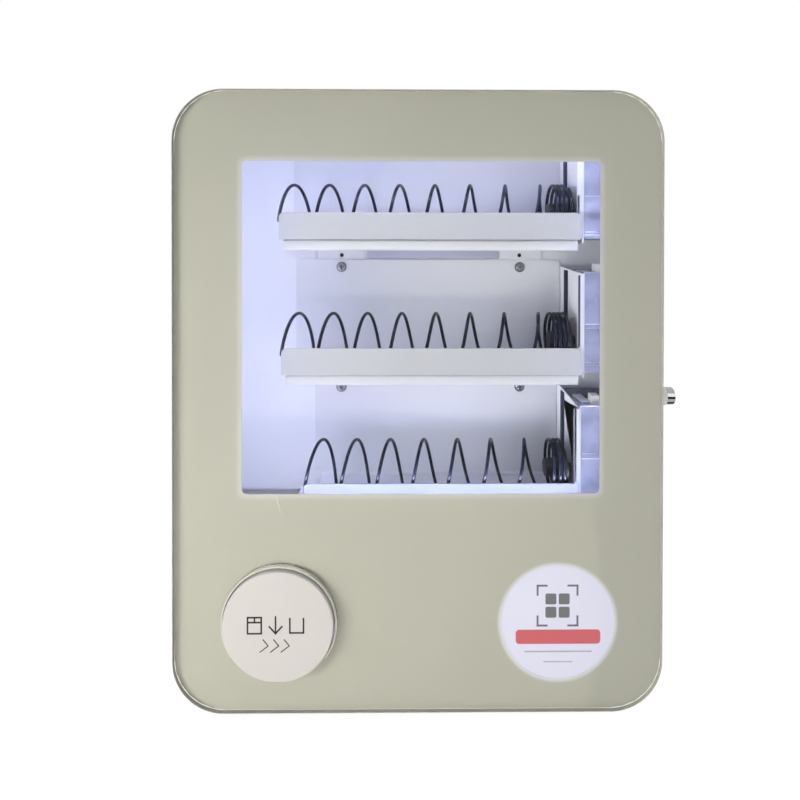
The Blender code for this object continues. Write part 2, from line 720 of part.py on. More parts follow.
def make_strike_bracket():
    """Plate inside the pan's wall, over the notch, with an arm whose lip stands behind the locked cam.

    The lip starts just outside the circle that the cam's corners turn through.
    """
    right = PAN_WALL_RIGHT - SHEET - SEAT_GAP
    left = right - STRIKE_WIDTH
    front = PAN_REAR_DEPTH - STRIKE_DEPTH
    cam_reach = math.hypot(CAM_LENGTH, CAM_WIDTH / 2)
    lip_front = LOCK_DEPTH + math.sqrt(cam_reach ** 2 - STRIKE_RISE ** 2) + STRIKE_PLAY
    lip_rear = lip_front + SHEET
    low = MIDDLE_HEIGHT + STRIKE_RISE
    outline = [(front, low), (lip_rear, low), (lip_rear, low + STRIKE_ARM), (PAN_REAR_DEPTH, low + STRIKE_ARM),
               (PAN_REAR_DEPTH, MIDDLE_HEIGHT + LOCK_NOTCH_REACH + STRIKE_LENGTH),
               (front, MIDDLE_HEIGHT + LOCK_NOTCH_REACH + STRIKE_LENGTH)]
    plate = prism("strike_bracket", outline, "x", right - SHEET, right)
    lip = box("lip", left, right - SHEET / 2, lip_front, lip_rear, low, low + STRIKE_ARM)
    return give_finish(join(plate, lip), "bare_steel")


def make_door_gasket():
    """Flat rubber seal between the door pan and the cabinet's front flange."""
    outer = CABINET_FLANGE - GASKET_INSET - GASKET_WIDTH
    inner = outer + GASKET_WIDTH
    back = DOOR_PARTS_FRONT + GASKET_THICK
    ring = frame_ring("door_gasket", BODY_WIDTH, BODY_HEIGHT, BODY_CORNER,
                      ((outer, DOOR_PARTS_FRONT), (outer, back), (inner, back), (inner, DOOR_PARTS_FRONT)))
    return give_finish(ring, "rubber")


def make_led_frame():
    """Light strip board on the back of the pan, all round the window."""
    margin = PAN_WINDOW_MARGIN + LED_MARGIN
    outer = margin + LED_WIDTH
    outline = rounded_rectangle(WINDOW_SHIFT, WINDOW_CENTRE, WINDOW_WIDTH + 2 * outer,
                                WINDOW_HEIGHT + 2 * outer, WINDOW_CORNER, SMALL_CORNER_STEPS)
    hole = rounded_rectangle(WINDOW_SHIFT, WINDOW_CENTRE, WINDOW_WIDTH + 2 * margin,
                             WINDOW_HEIGHT + 2 * margin, WINDOW_CORNER, SMALL_CORNER_STEPS)
    board = prism("led_frame", outline, "depth", DOOR_PARTS_FRONT, DOOR_PARTS_FRONT + LED_THICK, [hole])
    return give_finish(board, "lit_white")


def make_label():
    """Round label disc, the cup that holds it and the light board inside the cup."""
    centre = (LABEL_X, LABEL_HEIGHT)
    back = PAN_FRONT + LABEL_THICK
    label = turned("label_disc", ((PAN_FRONT, 0), (PAN_FRONT, LABEL_DISC_RADIUS),
                                  (back, LABEL_DISC_RADIUS), (back, 0)), "depth", centre, DISC_STEPS)
    inner = LABEL_DISC_RADIUS + 2 * SEAT_GAP
    outer = inner + HOLDER_WALL
    floor = HOLDER_REAR - HOLDER_WALL
    flange_back = DOOR_PARTS_FRONT + HOLDER_WALL
    holder = turned("label_holder", ((HOLDER_REAR, 0), (HOLDER_REAR, outer), (flange_back, outer),
                                     (flange_back, outer + HOLDER_FLANGE - HOLDER_WALL),
                                     (DOOR_PARTS_FRONT, outer + HOLDER_FLANGE - HOLDER_WALL),
                                     (DOOR_PARTS_FRONT, inner), (floor, inner), (floor, 0)),
                    "depth", centre, DISC_STEPS)
    board_back = floor - SEAT_GAP
    board_front = board_back - LIGHT_BOARD_THICK
    board_radius = inner - SEAT_GAP
    board = turned("label_light", ((board_front, 0), (board_front, board_radius),
                                   (board_back, board_radius), (board_back, 0)),
                   "depth", centre, BARREL_STEPS)
    return (give_finish(label, "lit_white"), give_finish(holder, "white_plastic"),
            give_finish(board, "lit_white"))


def make_flap_disc():
    """Push flap: a round dish with two hinge ears near its top."""
    centre = (FLAP_X, FLAP_HEIGHT)
    face = -FLAP_PROUD
    rear = face + FLAP_RIM_DEPTH
    inner_face = face + FLAP_PLATE
    inner_radius = FLAP_RADIUS - FLAP_RIM
    edge = [(face + FLAP_ROUNDING - FLAP_ROUNDING * math.cos(angle),
             FLAP_RADIUS - FLAP_ROUNDING + FLAP_ROUNDING * math.sin(angle))
            for angle in (0, math.pi / 4, math.pi / 2)]
    dish = turned("flap_disc", [(face, 0), *edge, (rear, FLAP_RADIUS), (rear, inner_radius),
                                (inner_face, inner_radius), (inner_face, 0)],
                  "depth", centre, DISC_STEPS)
    ears = []
    root = face + FLAP_PLATE / 2
    quarter = math.pi / 2
    for side in (-1, 1):
        outline = [(root, FLAP_AXIS_HEIGHT - EAR_RADIUS * 3), (root, FLAP_AXIS_HEIGHT - EAR_RADIUS / 5),
                   (rear, FLAP_AXIS_HEIGHT + EAR_RADIUS / 3)]
        outline += arc(FLAP_AXIS_DEPTH, FLAP_AXIS_HEIGHT, EAR_RADIUS, quarter, -quarter, CORNER_STEPS)
        middle = FLAP_X + side * (EAR_INNER + EAR_THICK / 2)
        hole = circle(FLAP_AXIS_DEPTH, FLAP_AXIS_HEIGHT, FLAP_PIN_RADIUS + RUNNING_GAP, SMALL_STEPS)
        ears.append(prism("ear", outline, "x", middle - EAR_THICK / 2, middle + EAR_THICK / 2, [hole]))
    join(dish, *ears)
    flat_height = FLAP_HEIGHT - FLAP_RADIUS + FLAP_FLAT
    flat = box("flap_flat", FLAP_X - FLAP_RADIUS, FLAP_X + FLAP_RADIUS, face - OVERRUN, rear + OVERRUN,
               flat_height - OVERRUN, flat_height)
    return give_finish(smooth(cut(dish, flat)), "white_plastic")


def make_flap_frame():
    """Collar behind the pan round the flap, with the two lugs that hold its pin."""
    centre = (FLAP_X, FLAP_HEIGHT)
    inner = FLAP_HOLE_RADIUS + SEAT_GAP
    outer = inner + COLLAR_WALL
    flange_back = DOOR_PARTS_FRONT + COLLAR_FLANGE_THICK
    collar = turned("flap_frame", ((DOOR_PARTS_FRONT, inner), (COLLAR_REAR, inner),
                                   (COLLAR_REAR, outer), (flange_back, outer),
                                   (flange_back, inner + COLLAR_FLANGE),
                                   (DOOR_PARTS_FRONT, inner + COLLAR_FLANGE)),
                    "depth", centre, DISC_STEPS)
    lugs = []
    offset = EAR_INNER + EAR_THICK + LUG_GAP + LUG_THICK / 2
    lug_top = FLAP_HEIGHT + math.sqrt((inner + COLLAR_WALL / 2) ** 2 - offset ** 2)
    for side in (-1, 1):
        outline = [(FLAP_AXIS_DEPTH + EAR_RADIUS, lug_top), (FLAP_AXIS_DEPTH - EAR_RADIUS, lug_top)]
        outline += arc(FLAP_AXIS_DEPTH, FLAP_AXIS_HEIGHT, EAR_RADIUS, math.pi, 2 * math.pi, CORNER_STEPS)
        middle = FLAP_X + side * offset
        hole = circle(FLAP_AXIS_DEPTH, FLAP_AXIS_HEIGHT, FLAP_PIN_RADIUS + RUNNING_GAP, SMALL_STEPS)
        lugs.append(prism("lug", outline, "x", middle - LUG_THICK / 2, middle + LUG_THICK / 2, [hole]))
    return give_finish(smooth(join(collar, *lugs)), "white_plastic")


def make_flap_pin():
    """Steel pin that the flap swings on."""
    reach = FLAP_PIN_LENGTH / 2
    pin = turned("flap_pin", ((FLAP_X - reach, 0), (FLAP_X - reach, FLAP_PIN_RADIUS),
                              (FLAP_X + reach, FLAP_PIN_RADIUS), (FLAP_X + reach, 0)),
                 "x", (FLAP_AXIS_DEPTH, FLAP_AXIS_HEIGHT), SMALL_STEPS)
    return give_finish(pin, "bare_steel")


def make_flap_spring():
    """Torsion spring round the pin: one leg on the flap's back and one up to the collar."""
    start_x = FLAP_X - SPRING_PITCH * SPRING_TURNS / 2
    low = FLAP_AXIS_HEIGHT - SPRING_RADIUS
    leg_end = -FLAP_PROUD + FLAP_PLATE + SEAT_GAP
    points = [place(start_x, leg_end, low), place(start_x, (leg_end + FLAP_AXIS_DEPTH) / 2, low)]
    count = round(SPRING_TURNS * CURL_POINTS)
    for step in range(count + 1):
        turn = SPRING_TURNS * step / count
        angle = 2 * math.pi * turn
        points.append(place(start_x + SPRING_PITCH * turn,
                            FLAP_AXIS_DEPTH + SPRING_RADIUS * math.sin(angle),
                            FLAP_AXIS_HEIGHT - SPRING_RADIUS * math.cos(angle)))
    points.append(points[-1] + Vector((0, 0, SPRING_ARM)))
    gap = least_gap(points, SPRING_WIRE, CURL_POINTS)
    print("flap_spring least gap to itself, mm:", round(gap * 1000, 3), gap > MINIMUM_COIL_GAP)
    return give_finish(tube("flap_spring", points, SPRING_WIRE), "bare_steel")


# Hinges

def knuckle_spans():
    """Lowest and highest point of each knuckle, from the bottom up."""
    low = MIDDLE_HEIGHT - HINGE_LENGTH / 2
    pitch = HINGE_LENGTH / HINGE_KNUCKLES
    return [(low + k * pitch + RUNNING_GAP / 2, low + (k + 1) * pitch - RUNNING_GAP / 2)
            for k in range(HINGE_KNUCKLES)]


def hinge_bore():
    """Cutter for the hole of the pin through all knuckles."""
    low = MIDDLE_HEIGHT - HINGE_LENGTH / 2
    return prism("bore", circle(HINGE_X, HINGE_DEPTH, HINGE_BORE, SMALL_STEPS), "height",
                 low - OVERRUN, low + HINGE_LENGTH + OVERRUN)


def make_hinge_leaf_door():
    """Door leaf of the long hinge: a plate on the pan's back with every second knuckle."""
    plate_left = HINGE_X + HINGE_RADIUS + 2 * RUNNING_GAP
    low = MIDDLE_HEIGHT - HINGE_LENGTH / 2
    leaf = box("hinge_leaf_door", plate_left, HINGE_X + DOOR_LEAF_REACH, HINGE_DEPTH - HINGE_LEAF / 2,
               HINGE_DEPTH + HINGE_LEAF / 2, low, low + HINGE_LENGTH)
    shapes = []
    for bottom, top in knuckle_spans()[1::2]:
        shapes.append(box("web", HINGE_X, plate_left + HINGE_LEAF, HINGE_DEPTH - HINGE_LEAF / 3,
                          HINGE_DEPTH + HINGE_LEAF / 3, bottom + HINGE_LEAF / 2, top - HINGE_LEAF / 2))
        shapes.append(prism("knuckle", circle(HINGE_X, HINGE_DEPTH, HINGE_RADIUS, SMALL_STEPS), "height",
                            bottom, top))
    return give_finish(smooth(cut(join(leaf, *shapes), hinge_bore())), "bare_steel")


def make_hinge_leaf_cabinet():
    """Cabinet leaf of the long hinge: a plate on the side wall with the other knuckles."""
    outer = BODY_LEFT - SEAT_GAP
    plate_front = HINGE_DEPTH + HINGE_RADIUS + 2 * RUNNING_GAP
    low = MIDDLE_HEIGHT - HINGE_LENGTH / 2
    leaf = box("hinge_leaf_cabinet", outer - HINGE_LEAF, outer, plate_front, CABINET_LEAF_DEPTH,
               low, low + HINGE_LENGTH)
    shapes = []
    for bottom, top in knuckle_spans()[0::2]:
        shapes.append(box("web", outer - HINGE_LEAF + SEAT_GAP / 2, outer - SEAT_GAP / 2, HINGE_DEPTH,
                          plate_front + HINGE_LEAF, bottom + HINGE_LEAF / 2, top - HINGE_LEAF / 2))
        shapes.append(prism("knuckle", circle(HINGE_X, HINGE_DEPTH, HINGE_RADIUS, SMALL_STEPS), "height",
                            bottom, top))
    return give_finish(smooth(cut(join(leaf, *shapes), hinge_bore())), "bare_steel")


def make_hinge_pin():
    """Headed pin through all knuckles."""
    low = MIDDLE_HEIGHT - HINGE_LENGTH / 2
    head = low + HINGE_LENGTH + RUNNING_GAP
    top = head + HINGE_HEAD_THICK
    pin = turned("hinge_pin", ((low, 0), (low, HINGE_PIN), (head, HINGE_PIN), (head, HINGE_PIN_HEAD),
                               (top, HINGE_PIN_HEAD), (top, 0)),
                 "height", (HINGE_X, HINGE_DEPTH), SMALL_STEPS)
    return give_finish(pin, "bare_steel")


# Cabinet

def make_cabinet_shell():
    """Wrapped steel shell with an inward front flange and the hole of the lock."""
    front = CABINET_FRONT
    shell = frame_ring("cabinet_shell", BODY_WIDTH, BODY_HEIGHT, BODY_CORNER,
                       ((0, front), (CABINET_FLANGE, front), (CABINET_FLANGE, front + SHEET),
                        (SHEET, front + SHEET), (SHEET, MACHINE_DEPTH), (0, MACHINE_DEPTH)))
    hole = prism("lock_hole", circle(LOCK_DEPTH, MIDDLE_HEIGHT, LOCK_THREAD_RADIUS + LOCK_HOLE_GAP,
                                     BARREL_STEPS), "x", BODY_RIGHT - OVERRUN, BODY_RIGHT + OVERRUN)
    return give_finish(smooth(cut(shell, hole)), "white_steel")


def keyhole(middle_x, height):
    """Outline of a keyhole: a round entry with a narrow neck above it."""
    entry = math.asin(KEYHOLE_NECK / KEYHOLE_RADIUS)
    start = math.pi / 2 + entry
    points = arc(middle_x, height, KEYHOLE_RADIUS, start, start + 2 * math.pi - 2 * entry, SMALL_STEPS)
    return points + arc(middle_x, height + KEYHOLE_RISE, KEYHOLE_NECK, 0, math.pi, CORNER_STEPS)


def make_back_panel():
    """Flat back with keyholes for a wall, vents and the hole of the power inlet."""
    inset = SHEET + SEAT_GAP
    outline = rounded_rectangle(0, MIDDLE_HEIGHT, BODY_WIDTH - 2 * inset, BODY_HEIGHT - 2 * inset,
                                BODY_CORNER - inset)
    keyhole_height = PANEL_HEIGHT - KEYHOLE_DROP
    holes = [keyhole(side * KEYHOLE_SPREAD / 2, keyhole_height) for side in (-1, 1)]
    holes.append(circle(BODY_RIGHT - INLET_INSET, INLET_HEIGHT, INLET_RADIUS + SEAT_GAP, BARREL_STEPS))
    for row in range(VENT_COUNT):
        holes.append(rounded_rectangle(BODY_RIGHT - VENT_INSET, VENT_BASE + row * VENT_PITCH,
                                       VENT_LENGTH, VENT_WIDTH, VENT_WIDTH / 3, SMALL_CORNER_STEPS))
    return give_finish(prism("back_panel", outline, "depth", BACK_INNER, MACHINE_DEPTH, holes),
                       "white_steel")


def screw_places(axis, screw_rise):
    """Places of the two screws of a tray, as (x, height)."""
    return [(SCREW_LEFT_X, axis + screw_rise), (SCREW_RIGHT_X, axis + screw_rise)]


def make_inner_panel():
    """Mounting panel behind the trays, with holes for screws and wires and two side flanges."""
    edge = SHEET + 2 * SEAT_GAP
    left = BODY_LEFT + edge
    right = BODY_RIGHT - edge
    low = DECK_HEIGHT + SEAT_GAP
    high = BODY_INSET + BODY_HEIGHT - edge
    radius = BODY_CORNER - edge
    quarter = math.pi / 2
    outline = [(left, low), (right, low)]
    outline += arc(right - radius, high - radius, radius, 0, quarter, CORNER_STEPS)
    outline += arc(left + radius, high - radius, radius, quarter, 2 * quarter, CORNER_STEPS)
    hole_radius = SCREW_SHANK_RADIUS + SCREW_HOLE_GAP
    places = [(x, TOP_AXIS - SPARE_HOLE_DROP) for x in (SCREW_LEFT_X, SCREW_RIGHT_X)]
    for tier in TIERS:
        places += screw_places(tier[1], tier[-1])
    holes = [circle(x, height, hole_radius, SMALL_STEPS) for x, height in places]
    slot_base = TOP_AXIS - SLOT_DROP
    holes.append(rectangle(SLOT_LEFT, SLOT_RIGHT, slot_base, slot_base + SLOT_HEIGHT))
    panel = prism("inner_panel", outline, "depth", INNER_PANEL_FRONT, INNER_PANEL_BACK, holes)
    flanges = [box("flange", start, start + SHEET, INNER_PANEL_FRONT + SHEET / 2, BACK_INNER - SEAT_GAP,
                   low + SHEET, high - radius - SHEET) for start in (left, right - SHEET)]
    return give_finish(join(panel, *flanges), "white_steel")


def make_wire_clip():
    """Grey clip on the inner panel's back, at the right end of the wire slot."""
    front = INNER_PANEL_BACK + SEAT_GAP
    slot_base = TOP_AXIS - SLOT_DROP
    clip = box("wire_clip", SLOT_RIGHT - CLIP_WIDTH, SLOT_RIGHT + CLIP_WIDTH / 4, front,
               front + CLIP_THICK, slot_base - CLIP_THICK / 3, slot_base + SLOT_HEIGHT + CLIP_THICK / 3)
    return give_finish(clip, "grey_plastic")


def make_feet():
    """Four rubber feet under the cabinet."""
    top = BODY_INSET - SEAT_GAP
    low = top - FOOT_HEIGHT
    profile = ((low, 0), (low, FOOT_RADIUS - FOOT_CHAMFER), (low + FOOT_CHAMFER, FOOT_RADIUS),
               (top, FOOT_RADIUS), (top, 0))
    reach = PANEL_WIDTH / 2 - FOOT_INSET
    for side, x in (("left", -reach), ("right", reach)):
        for end, depth in (("front", FOOT_FRONT), ("rear", MACHINE_DEPTH - FOOT_REAR_INSET)):
            name = "rubber_foot_" + end + "_" + side
            give_finish(turned(name, profile, "height", (x, depth), BARREL_STEPS), "rubber")


def make_deck():
    """Folded shelf that closes off the lower compartment, open at the left for the drop."""
    right = BODY_RIGHT - SHEET - SEAT_GAP
    middle = DECK_HEIGHT - SHEET / 2
    path = [(DECK_LEFT, middle - DECK_SKIRT), (DECK_LEFT, middle), (right, middle)]
    outline = sheet_outline(path, SHEET, (SHEET_BEND,))
    deck = prism("deck", outline, "depth", DECK_FRONT, BACK_INNER - SEAT_GAP)
    return give_finish(deck, "white_steel")


def make_pickup_bin():
    """Tub under the drop, open at the top and, above a low lip, at the front."""
    top = DECK_HEIGHT - SHEET - SEAT_GAP
    rear = BACK_INNER - BIN_REAR_GAP
    tub = box("pickup_bin", BIN_LEFT, BIN_RIGHT, BIN_FRONT, rear, BIN_BASE, top)
    hollow = box("hollow", BIN_LEFT + BIN_WALL, BIN_RIGHT - BIN_WALL, BIN_FRONT + BIN_WALL, rear - BIN_WALL,
                 BIN_BASE + BIN_WALL, top + OVERRUN)
    mouth = box("mouth", BIN_LEFT + BIN_WALL, BIN_RIGHT - BIN_WALL, BIN_FRONT - OVERRUN,
                BIN_FRONT + OVERRUN, BIN_BASE + BIN_WALL + BIN_LIP, top + OVERRUN)
    relief = box("relief", BIN_LEFT - OVERRUN, DECK_LEFT + SHEET, BIN_FRONT - OVERRUN, rear + OVERRUN,
                 DECK_HEIGHT - DECK_SKIRT - BIN_RELIEF, top + OVERRUN)
    return give_finish(cut(tub, hollow, mouth, relief), "white_steel")


# Lock

def make_lock():
    """Chrome lock body, its nut, the turning plug with a key slot, and the cam."""
    centre = (LOCK_DEPTH, MIDDLE_HEIGHT)
    bore = LOCK_PLUG_RADIUS + RUNNING_GAP
    collar_start = BODY_RIGHT + SEAT_GAP
    body = turned("lock_body", ((LOCK_INNER_END, bore), (LOCK_INNER_END, LOCK_THREAD_RADIUS),
                                (collar_start, LOCK_THREAD_RADIUS), (collar_start, LOCK_COLLAR_RADIUS),
                                (LOCK_COLLAR_END, LOCK_COLLAR_RADIUS),
                                (LOCK_COLLAR_END, LOCK_BARREL_RADIUS),
                                (LOCK_END - LOCK_CHAMFER, LOCK_BARREL_RADIUS),
                                (LOCK_END, LOCK_BARREL_RADIUS - LOCK_CHAMFER), (LOCK_END, bore)),
                  "x", centre, BARREL_STEPS)
    head_end = LOCK_INNER_END - CAM_PLAY
    cam_inner = head_end - CAM_THICK
    head_inner = cam_inner - SEAT_GAP - CAM_HEAD_THICK
    plug_face = LOCK_END - SEAT_GAP
    plug = turned("lock_plug", ((head_inner, 0), (head_inner, CAM_HEAD_RADIUS),
                                (cam_inner - SEAT_GAP, CAM_HEAD_RADIUS),
                                (cam_inner - SEAT_GAP, CAM_SPINDLE_RADIUS),
                                (head_end + SEAT_GAP, CAM_SPINDLE_RADIUS),
                                (head_end + SEAT_GAP, LOCK_PLUG_RADIUS),
                                (plug_face, LOCK_PLUG_RADIUS), (plug_face, 0)),
                  "x", centre, BARREL_STEPS)
    slot = box("key_slot", plug_face - KEY_SLOT_DEPTH, plug_face + OVERRUN,
               LOCK_DEPTH - KEY_SLOT_WIDTH / 2, LOCK_DEPTH + KEY_SLOT_WIDTH / 2,
               MIDDLE_HEIGHT - KEY_SLOT_LENGTH / 2, MIDDLE_HEIGHT + KEY_SLOT_LENGTH / 2)
    smooth(cut(plug, slot))
    flats = NUT_ACROSS_FLATS / 2 / math.cos(math.pi / 6)
    nut_outline = [(LOCK_DEPTH + flats * math.cos(math.pi / 6 + k * math.pi / 3),
                    MIDDLE_HEIGHT + flats * math.sin(math.pi / 6 + k * math.pi / 3)) for k in range(6)]
    nut_back = BODY_RIGHT - SHEET - SEAT_GAP
    nut = prism("lock_nut", nut_outline, "x", nut_back - NUT_THICK, nut_back,
                [circle(LOCK_DEPTH, MIDDLE_HEIGHT, LOCK_THREAD_RADIUS + SEAT_GAP, BARREL_STEPS)])
    half = CAM_WIDTH / 2
    start = math.asin(half / CAM_HUB_RADIUS)
    turn = CAM_REST_ANGLE
    outline = arc(LOCK_DEPTH, MIDDLE_HEIGHT, CAM_HUB_RADIUS, turn + start, turn + 2 * math.pi - start,
                  SMALL_STEPS)
    outline += [(LOCK_DEPTH + CAM_LENGTH * math.cos(turn) - side * half * math.sin(turn),
                 MIDDLE_HEIGHT + CAM_LENGTH * math.sin(turn) + side * half * math.cos(turn))
                for side in (-1, 1)]
    cam = prism("lock_cam", outline, "x", cam_inner, head_end,
                [circle(LOCK_DEPTH, MIDDLE_HEIGHT, CAM_SPINDLE_RADIUS + SEAT_GAP, SMALL_STEPS)])
    return (give_finish(body, "chrome"), give_finish(nut, "bare_steel"), give_finish(plug, "chrome"),
            give_finish(cam, "bare_steel"))


# Trays

def make_tray(name, axis, left, motor_x, screw_rise):
    """Folded tray: a front flange with a return, a floor and a wider back plate with tabs."""
    floor = axis - TRAY_FLOOR_DROP - SHEET / 2
    front = TRAY_FRONT + SHEET / 2
    plate = TRAY_BACK + SHEET / 2
    low = axis - TRAY_FLANGE_DROP + SHEET / 2
    top = axis + TRAY_TOP_RISE
    path = [(front + TRAY_RETURN, low), (front, low), (front, floor), (plate, floor), (plate, top)]
    bends = (SHEET_BEND, SHEET_BEND, TRAY_REAR_BEND)
    plate_left = left - TRAY_OVERHANG
    plate_right = motor_x - SEAT_GAP
    tray = prism("tray_" + name, sheet_outline(path, SHEET, bends), "x", left + TRAY_INSET_LEFT,
                 motor_x - TRAY_INSET_RIGHT)
    wide_plate = box("wide_plate", plate_left, plate_right, TRAY_BACK, TRAY_BACK + SHEET,
                     floor + TRAY_REAR_BEND, top)
    tabs = []
    tab_low = max(floor - TAB_LENGTH, DECK_HEIGHT + SEAT_GAP)
    for share in TAB_X_SHARES:
        x = plate_left + share * (plate_right - plate_left)
        tabs.append(box("tab", x - TAB_WIDTH / 2, x + TAB_WIDTH / 2, TRAY_BACK + SEAT_GAP / 2,
                        TRAY_BACK + SHEET - SEAT_GAP / 2, tab_low, floor + TRAY_REAR_BEND * 2))
    join(tray, wide_plate, *tabs)
    holes = [prism("screw_hole", circle(x, height, SCREW_SHANK_RADIUS + SCREW_HOLE_GAP, SMALL_STEPS),
                   "depth", TRAY_BACK - OVERRUN, TRAY_BACK + OVERRUN)
             for x, height in screw_places(axis, screw_rise)]
    return give_finish(cut(tray, *holes), "white_steel")


def make_guard(name, axis, left, motor_x):
    """Front guard rail with round top corners and a foot on the tray's floor."""
    low = axis - TRAY_FLOOR_DROP + SEAT_GAP
    high = axis - GUARD_DROP
    right = motor_x - GUARD_RIGHT_GAP
    quarter = math.pi / 2
    outline = [(left, low), (right, low)]
    outline += arc(right - GUARD_CORNER, high - GUARD_CORNER, GUARD_CORNER, 0, quarter, SMALL_CORNER_STEPS)
    outline += arc(left + GUARD_CORNER, high - GUARD_CORNER, GUARD_CORNER, quarter, 2 * quarter,
                   SMALL_CORNER_STEPS)
    rail = prism("guard_" + name, outline, "depth", GUARD_DEPTH, GUARD_DEPTH + GUARD_THICK)
    foot = box("foot", left + TRAY_INSET_LEFT, motor_x - MOTOR_FLANGE - SEAT_GAP,
               GUARD_DEPTH + GUARD_THICK / 2, GUARD_DEPTH + GUARD_FOOT, low, low + GUARD_THICK)
    return give_finish(join(rail, foot), "white_steel")


def make_motor_plate(name, axis, motor_x):
    """Upright plate at the tray's right end, with a front flange, a slot and the shaft's hole."""
    low = axis - MOTOR_PLATE_DROP
    rear = TRAY_BACK - SEAT_GAP
    outline = [(MOTOR_PLATE_FRONT, low), (rear, low), (rear, axis + MOTOR_PLATE_BACK_RISE),
               (MOTOR_PLATE_FRONT, axis + MOTOR_PLATE_FRONT_RISE)]
    holes = [rectangle(MOTOR_SLOT_FRONT, MOTOR_SLOT_BACK, axis - MOTOR_SLOT_BASE, axis + MOTOR_SLOT_RISE),
             circle(SPIRAL_DEPTH, axis, SHAFT_RADIUS + SHAFT_HOLE_GAP, BARREL_STEPS)]
    plate = prism("motor_plate_" + name, outline, "x", motor_x, motor_x + SHEET, holes)
    flange = box("flange", motor_x - MOTOR_FLANGE, motor_x + SHEET / 2, MOTOR_PLATE_FRONT + SEAT_GAP / 2,
                 MOTOR_PLATE_FRONT + SHEET, axis - TRAY_FLOOR_DROP + GUARD_THICK + 2 * SEAT_GAP,
                 axis + MOTOR_PLATE_FRONT_RISE - SEAT_GAP / 2)
    return give_finish(join(plate, flange), "white_steel")


def make_motor_can(name, axis, motor_x):
    """Galvanised motor can, open at the top."""
    left = motor_x + SHEET + SEAT_GAP
    right = left + CAN_WIDTH
    can = box("motor_can_" + name, left, right, CAN_FRONT, CAN_BACK, axis - CAN_DROP, axis + CAN_RISE)
    hollow = box("hollow", left + CAN_WALL, right - CAN_WALL, CAN_FRONT + CAN_WALL, CAN_BACK - CAN_WALL,
                 axis - CAN_DROP + CAN_WALL, axis + CAN_RISE + OVERRUN)
    hole = prism("shaft_hole", circle(SPIRAL_DEPTH, axis, SHAFT_RADIUS + SHAFT_HOLE_GAP, BARREL_STEPS),
                 "x", left - OVERRUN, left + OVERRUN)
    return give_finish(cut(can, hollow, hole), "galvanised")


def make_gear_motor(name, axis, motor_x):
    """Gear motor inside the can: a stepped block with the shaft's bore and a plug on top."""
    left = motor_x + SHEET + CAN_WALL + 2 * SEAT_GAP
    right = motor_x + SHEET + CAN_WIDTH - CAN_WALL - CAN_LINING_GAP
    front = CAN_FRONT + CAN_WALL + CAN_LINING_GAP
    back = CAN_BACK - CAN_WALL - CAN_LINING_GAP
    low = axis - CAN_DROP + CAN_WALL + SEAT_GAP
    high = axis + GEARBOX_RISE
    outline = [(front, low), (back, low), (back, high - GEARBOX_STEP), (back - GEARBOX_STEP, high),
               (front, high)]
    block = prism("gear_motor_" + name, outline, "x", left, right)
    plug_left = motor_x + PLUG_X
    plug = box("plug", plug_left, plug_left + PLUG_WIDTH, PLUG_FRONT, PLUG_FRONT + PLUG_LENGTH,
               high - SHEET, high + PLUG_HEIGHT)
    bore = prism("bore", circle(SPIRAL_DEPTH, axis, SHAFT_RADIUS + RUNNING_GAP, BARREL_STEPS), "x",
                 left - OVERRUN, motor_x + SHAFT_REACH + RUNNING_GAP)
    return give_finish(cut(join(block, plug), bore), "cream_plastic")


def make_drive_hub(name, axis, motor_x):
    """Black hub on the motor's shaft: a core and the disc that the last turns sit on."""
    profile = ((motor_x - HUB_DISC_FRONT - HUB_CORE_LENGTH, 0),
               (motor_x - HUB_DISC_FRONT - HUB_CORE_LENGTH, HUB_CORE_RADIUS),
               (motor_x - HUB_DISC_FRONT, HUB_CORE_RADIUS), (motor_x - HUB_DISC_FRONT, HUB_DISC_RADIUS),
               (motor_x - HUB_DISC_BACK, HUB_DISC_RADIUS), (motor_x - HUB_DISC_BACK, SHAFT_RADIUS),
               (motor_x + SHAFT_REACH, SHAFT_RADIUS), (motor_x + SHAFT_REACH, 0))
    return give_finish(turned("drive_hub_" + name, profile, "x", (SPIRAL_DEPTH, axis), BARREL_STEPS),
                       "black_plastic")


def spiral_points(axis, first_peak, last_peak, coils, motor_x):
    """Points of the wire: even wide turns that close up into tight turns at the hub.

    A turn starts at the top and leans to the back, so the wire is a left-hand helix along x.
    """
    wide_pitch = (last_peak - first_peak) / coils
    end_x = motor_x - WIRE_END_GAP
    blend_length = (wide_pitch + TIGHT_PITCH) / 2 * BLEND_TURNS
    last_turn = coils + BLEND_TURNS + (end_x - last_peak - blend_length) / TIGHT_PITCH
    count = round((last_turn + LEAD_IN_TURNS) * CURL_POINTS)
    points = []
    for step in range(count + 1):
        turn = -LEAD_IN_TURNS + (last_turn + LEAD_IN_TURNS) * step / count
        past = turn - coils
        if past <= 0:
            x = first_peak + wide_pitch * turn
        elif past < BLEND_TURNS:
            x = last_peak + wide_pitch * past - (wide_pitch - TIGHT_PITCH) * past * past / BLEND_TURNS / 2
        else:
            x = last_peak + blend_length + TIGHT_PITCH * (past - BLEND_TURNS)
        angle = 2 * math.pi * turn
        points.append(place(x, SPIRAL_DEPTH + SPIRAL_RADIUS * math.sin(angle),
                            axis + SPIRAL_RADIUS * math.cos(angle)))
    return points


def make_spiral(name, axis, first_peak, last_peak, coils, motor_x):
    """Black wire spiral that carries the goods."""
    points = spiral_points(axis, first_peak, last_peak, coils, motor_x)
    gap = least_gap(points, WIRE_DIAMETER, CURL_POINTS)
    print("spiral_" + name, "least gap to itself, mm:", round(gap * 1000, 3), gap > MINIMUM_COIL_GAP)
    return give_finish(tube("spiral_" + name, points, WIRE_DIAMETER), "black_wire")


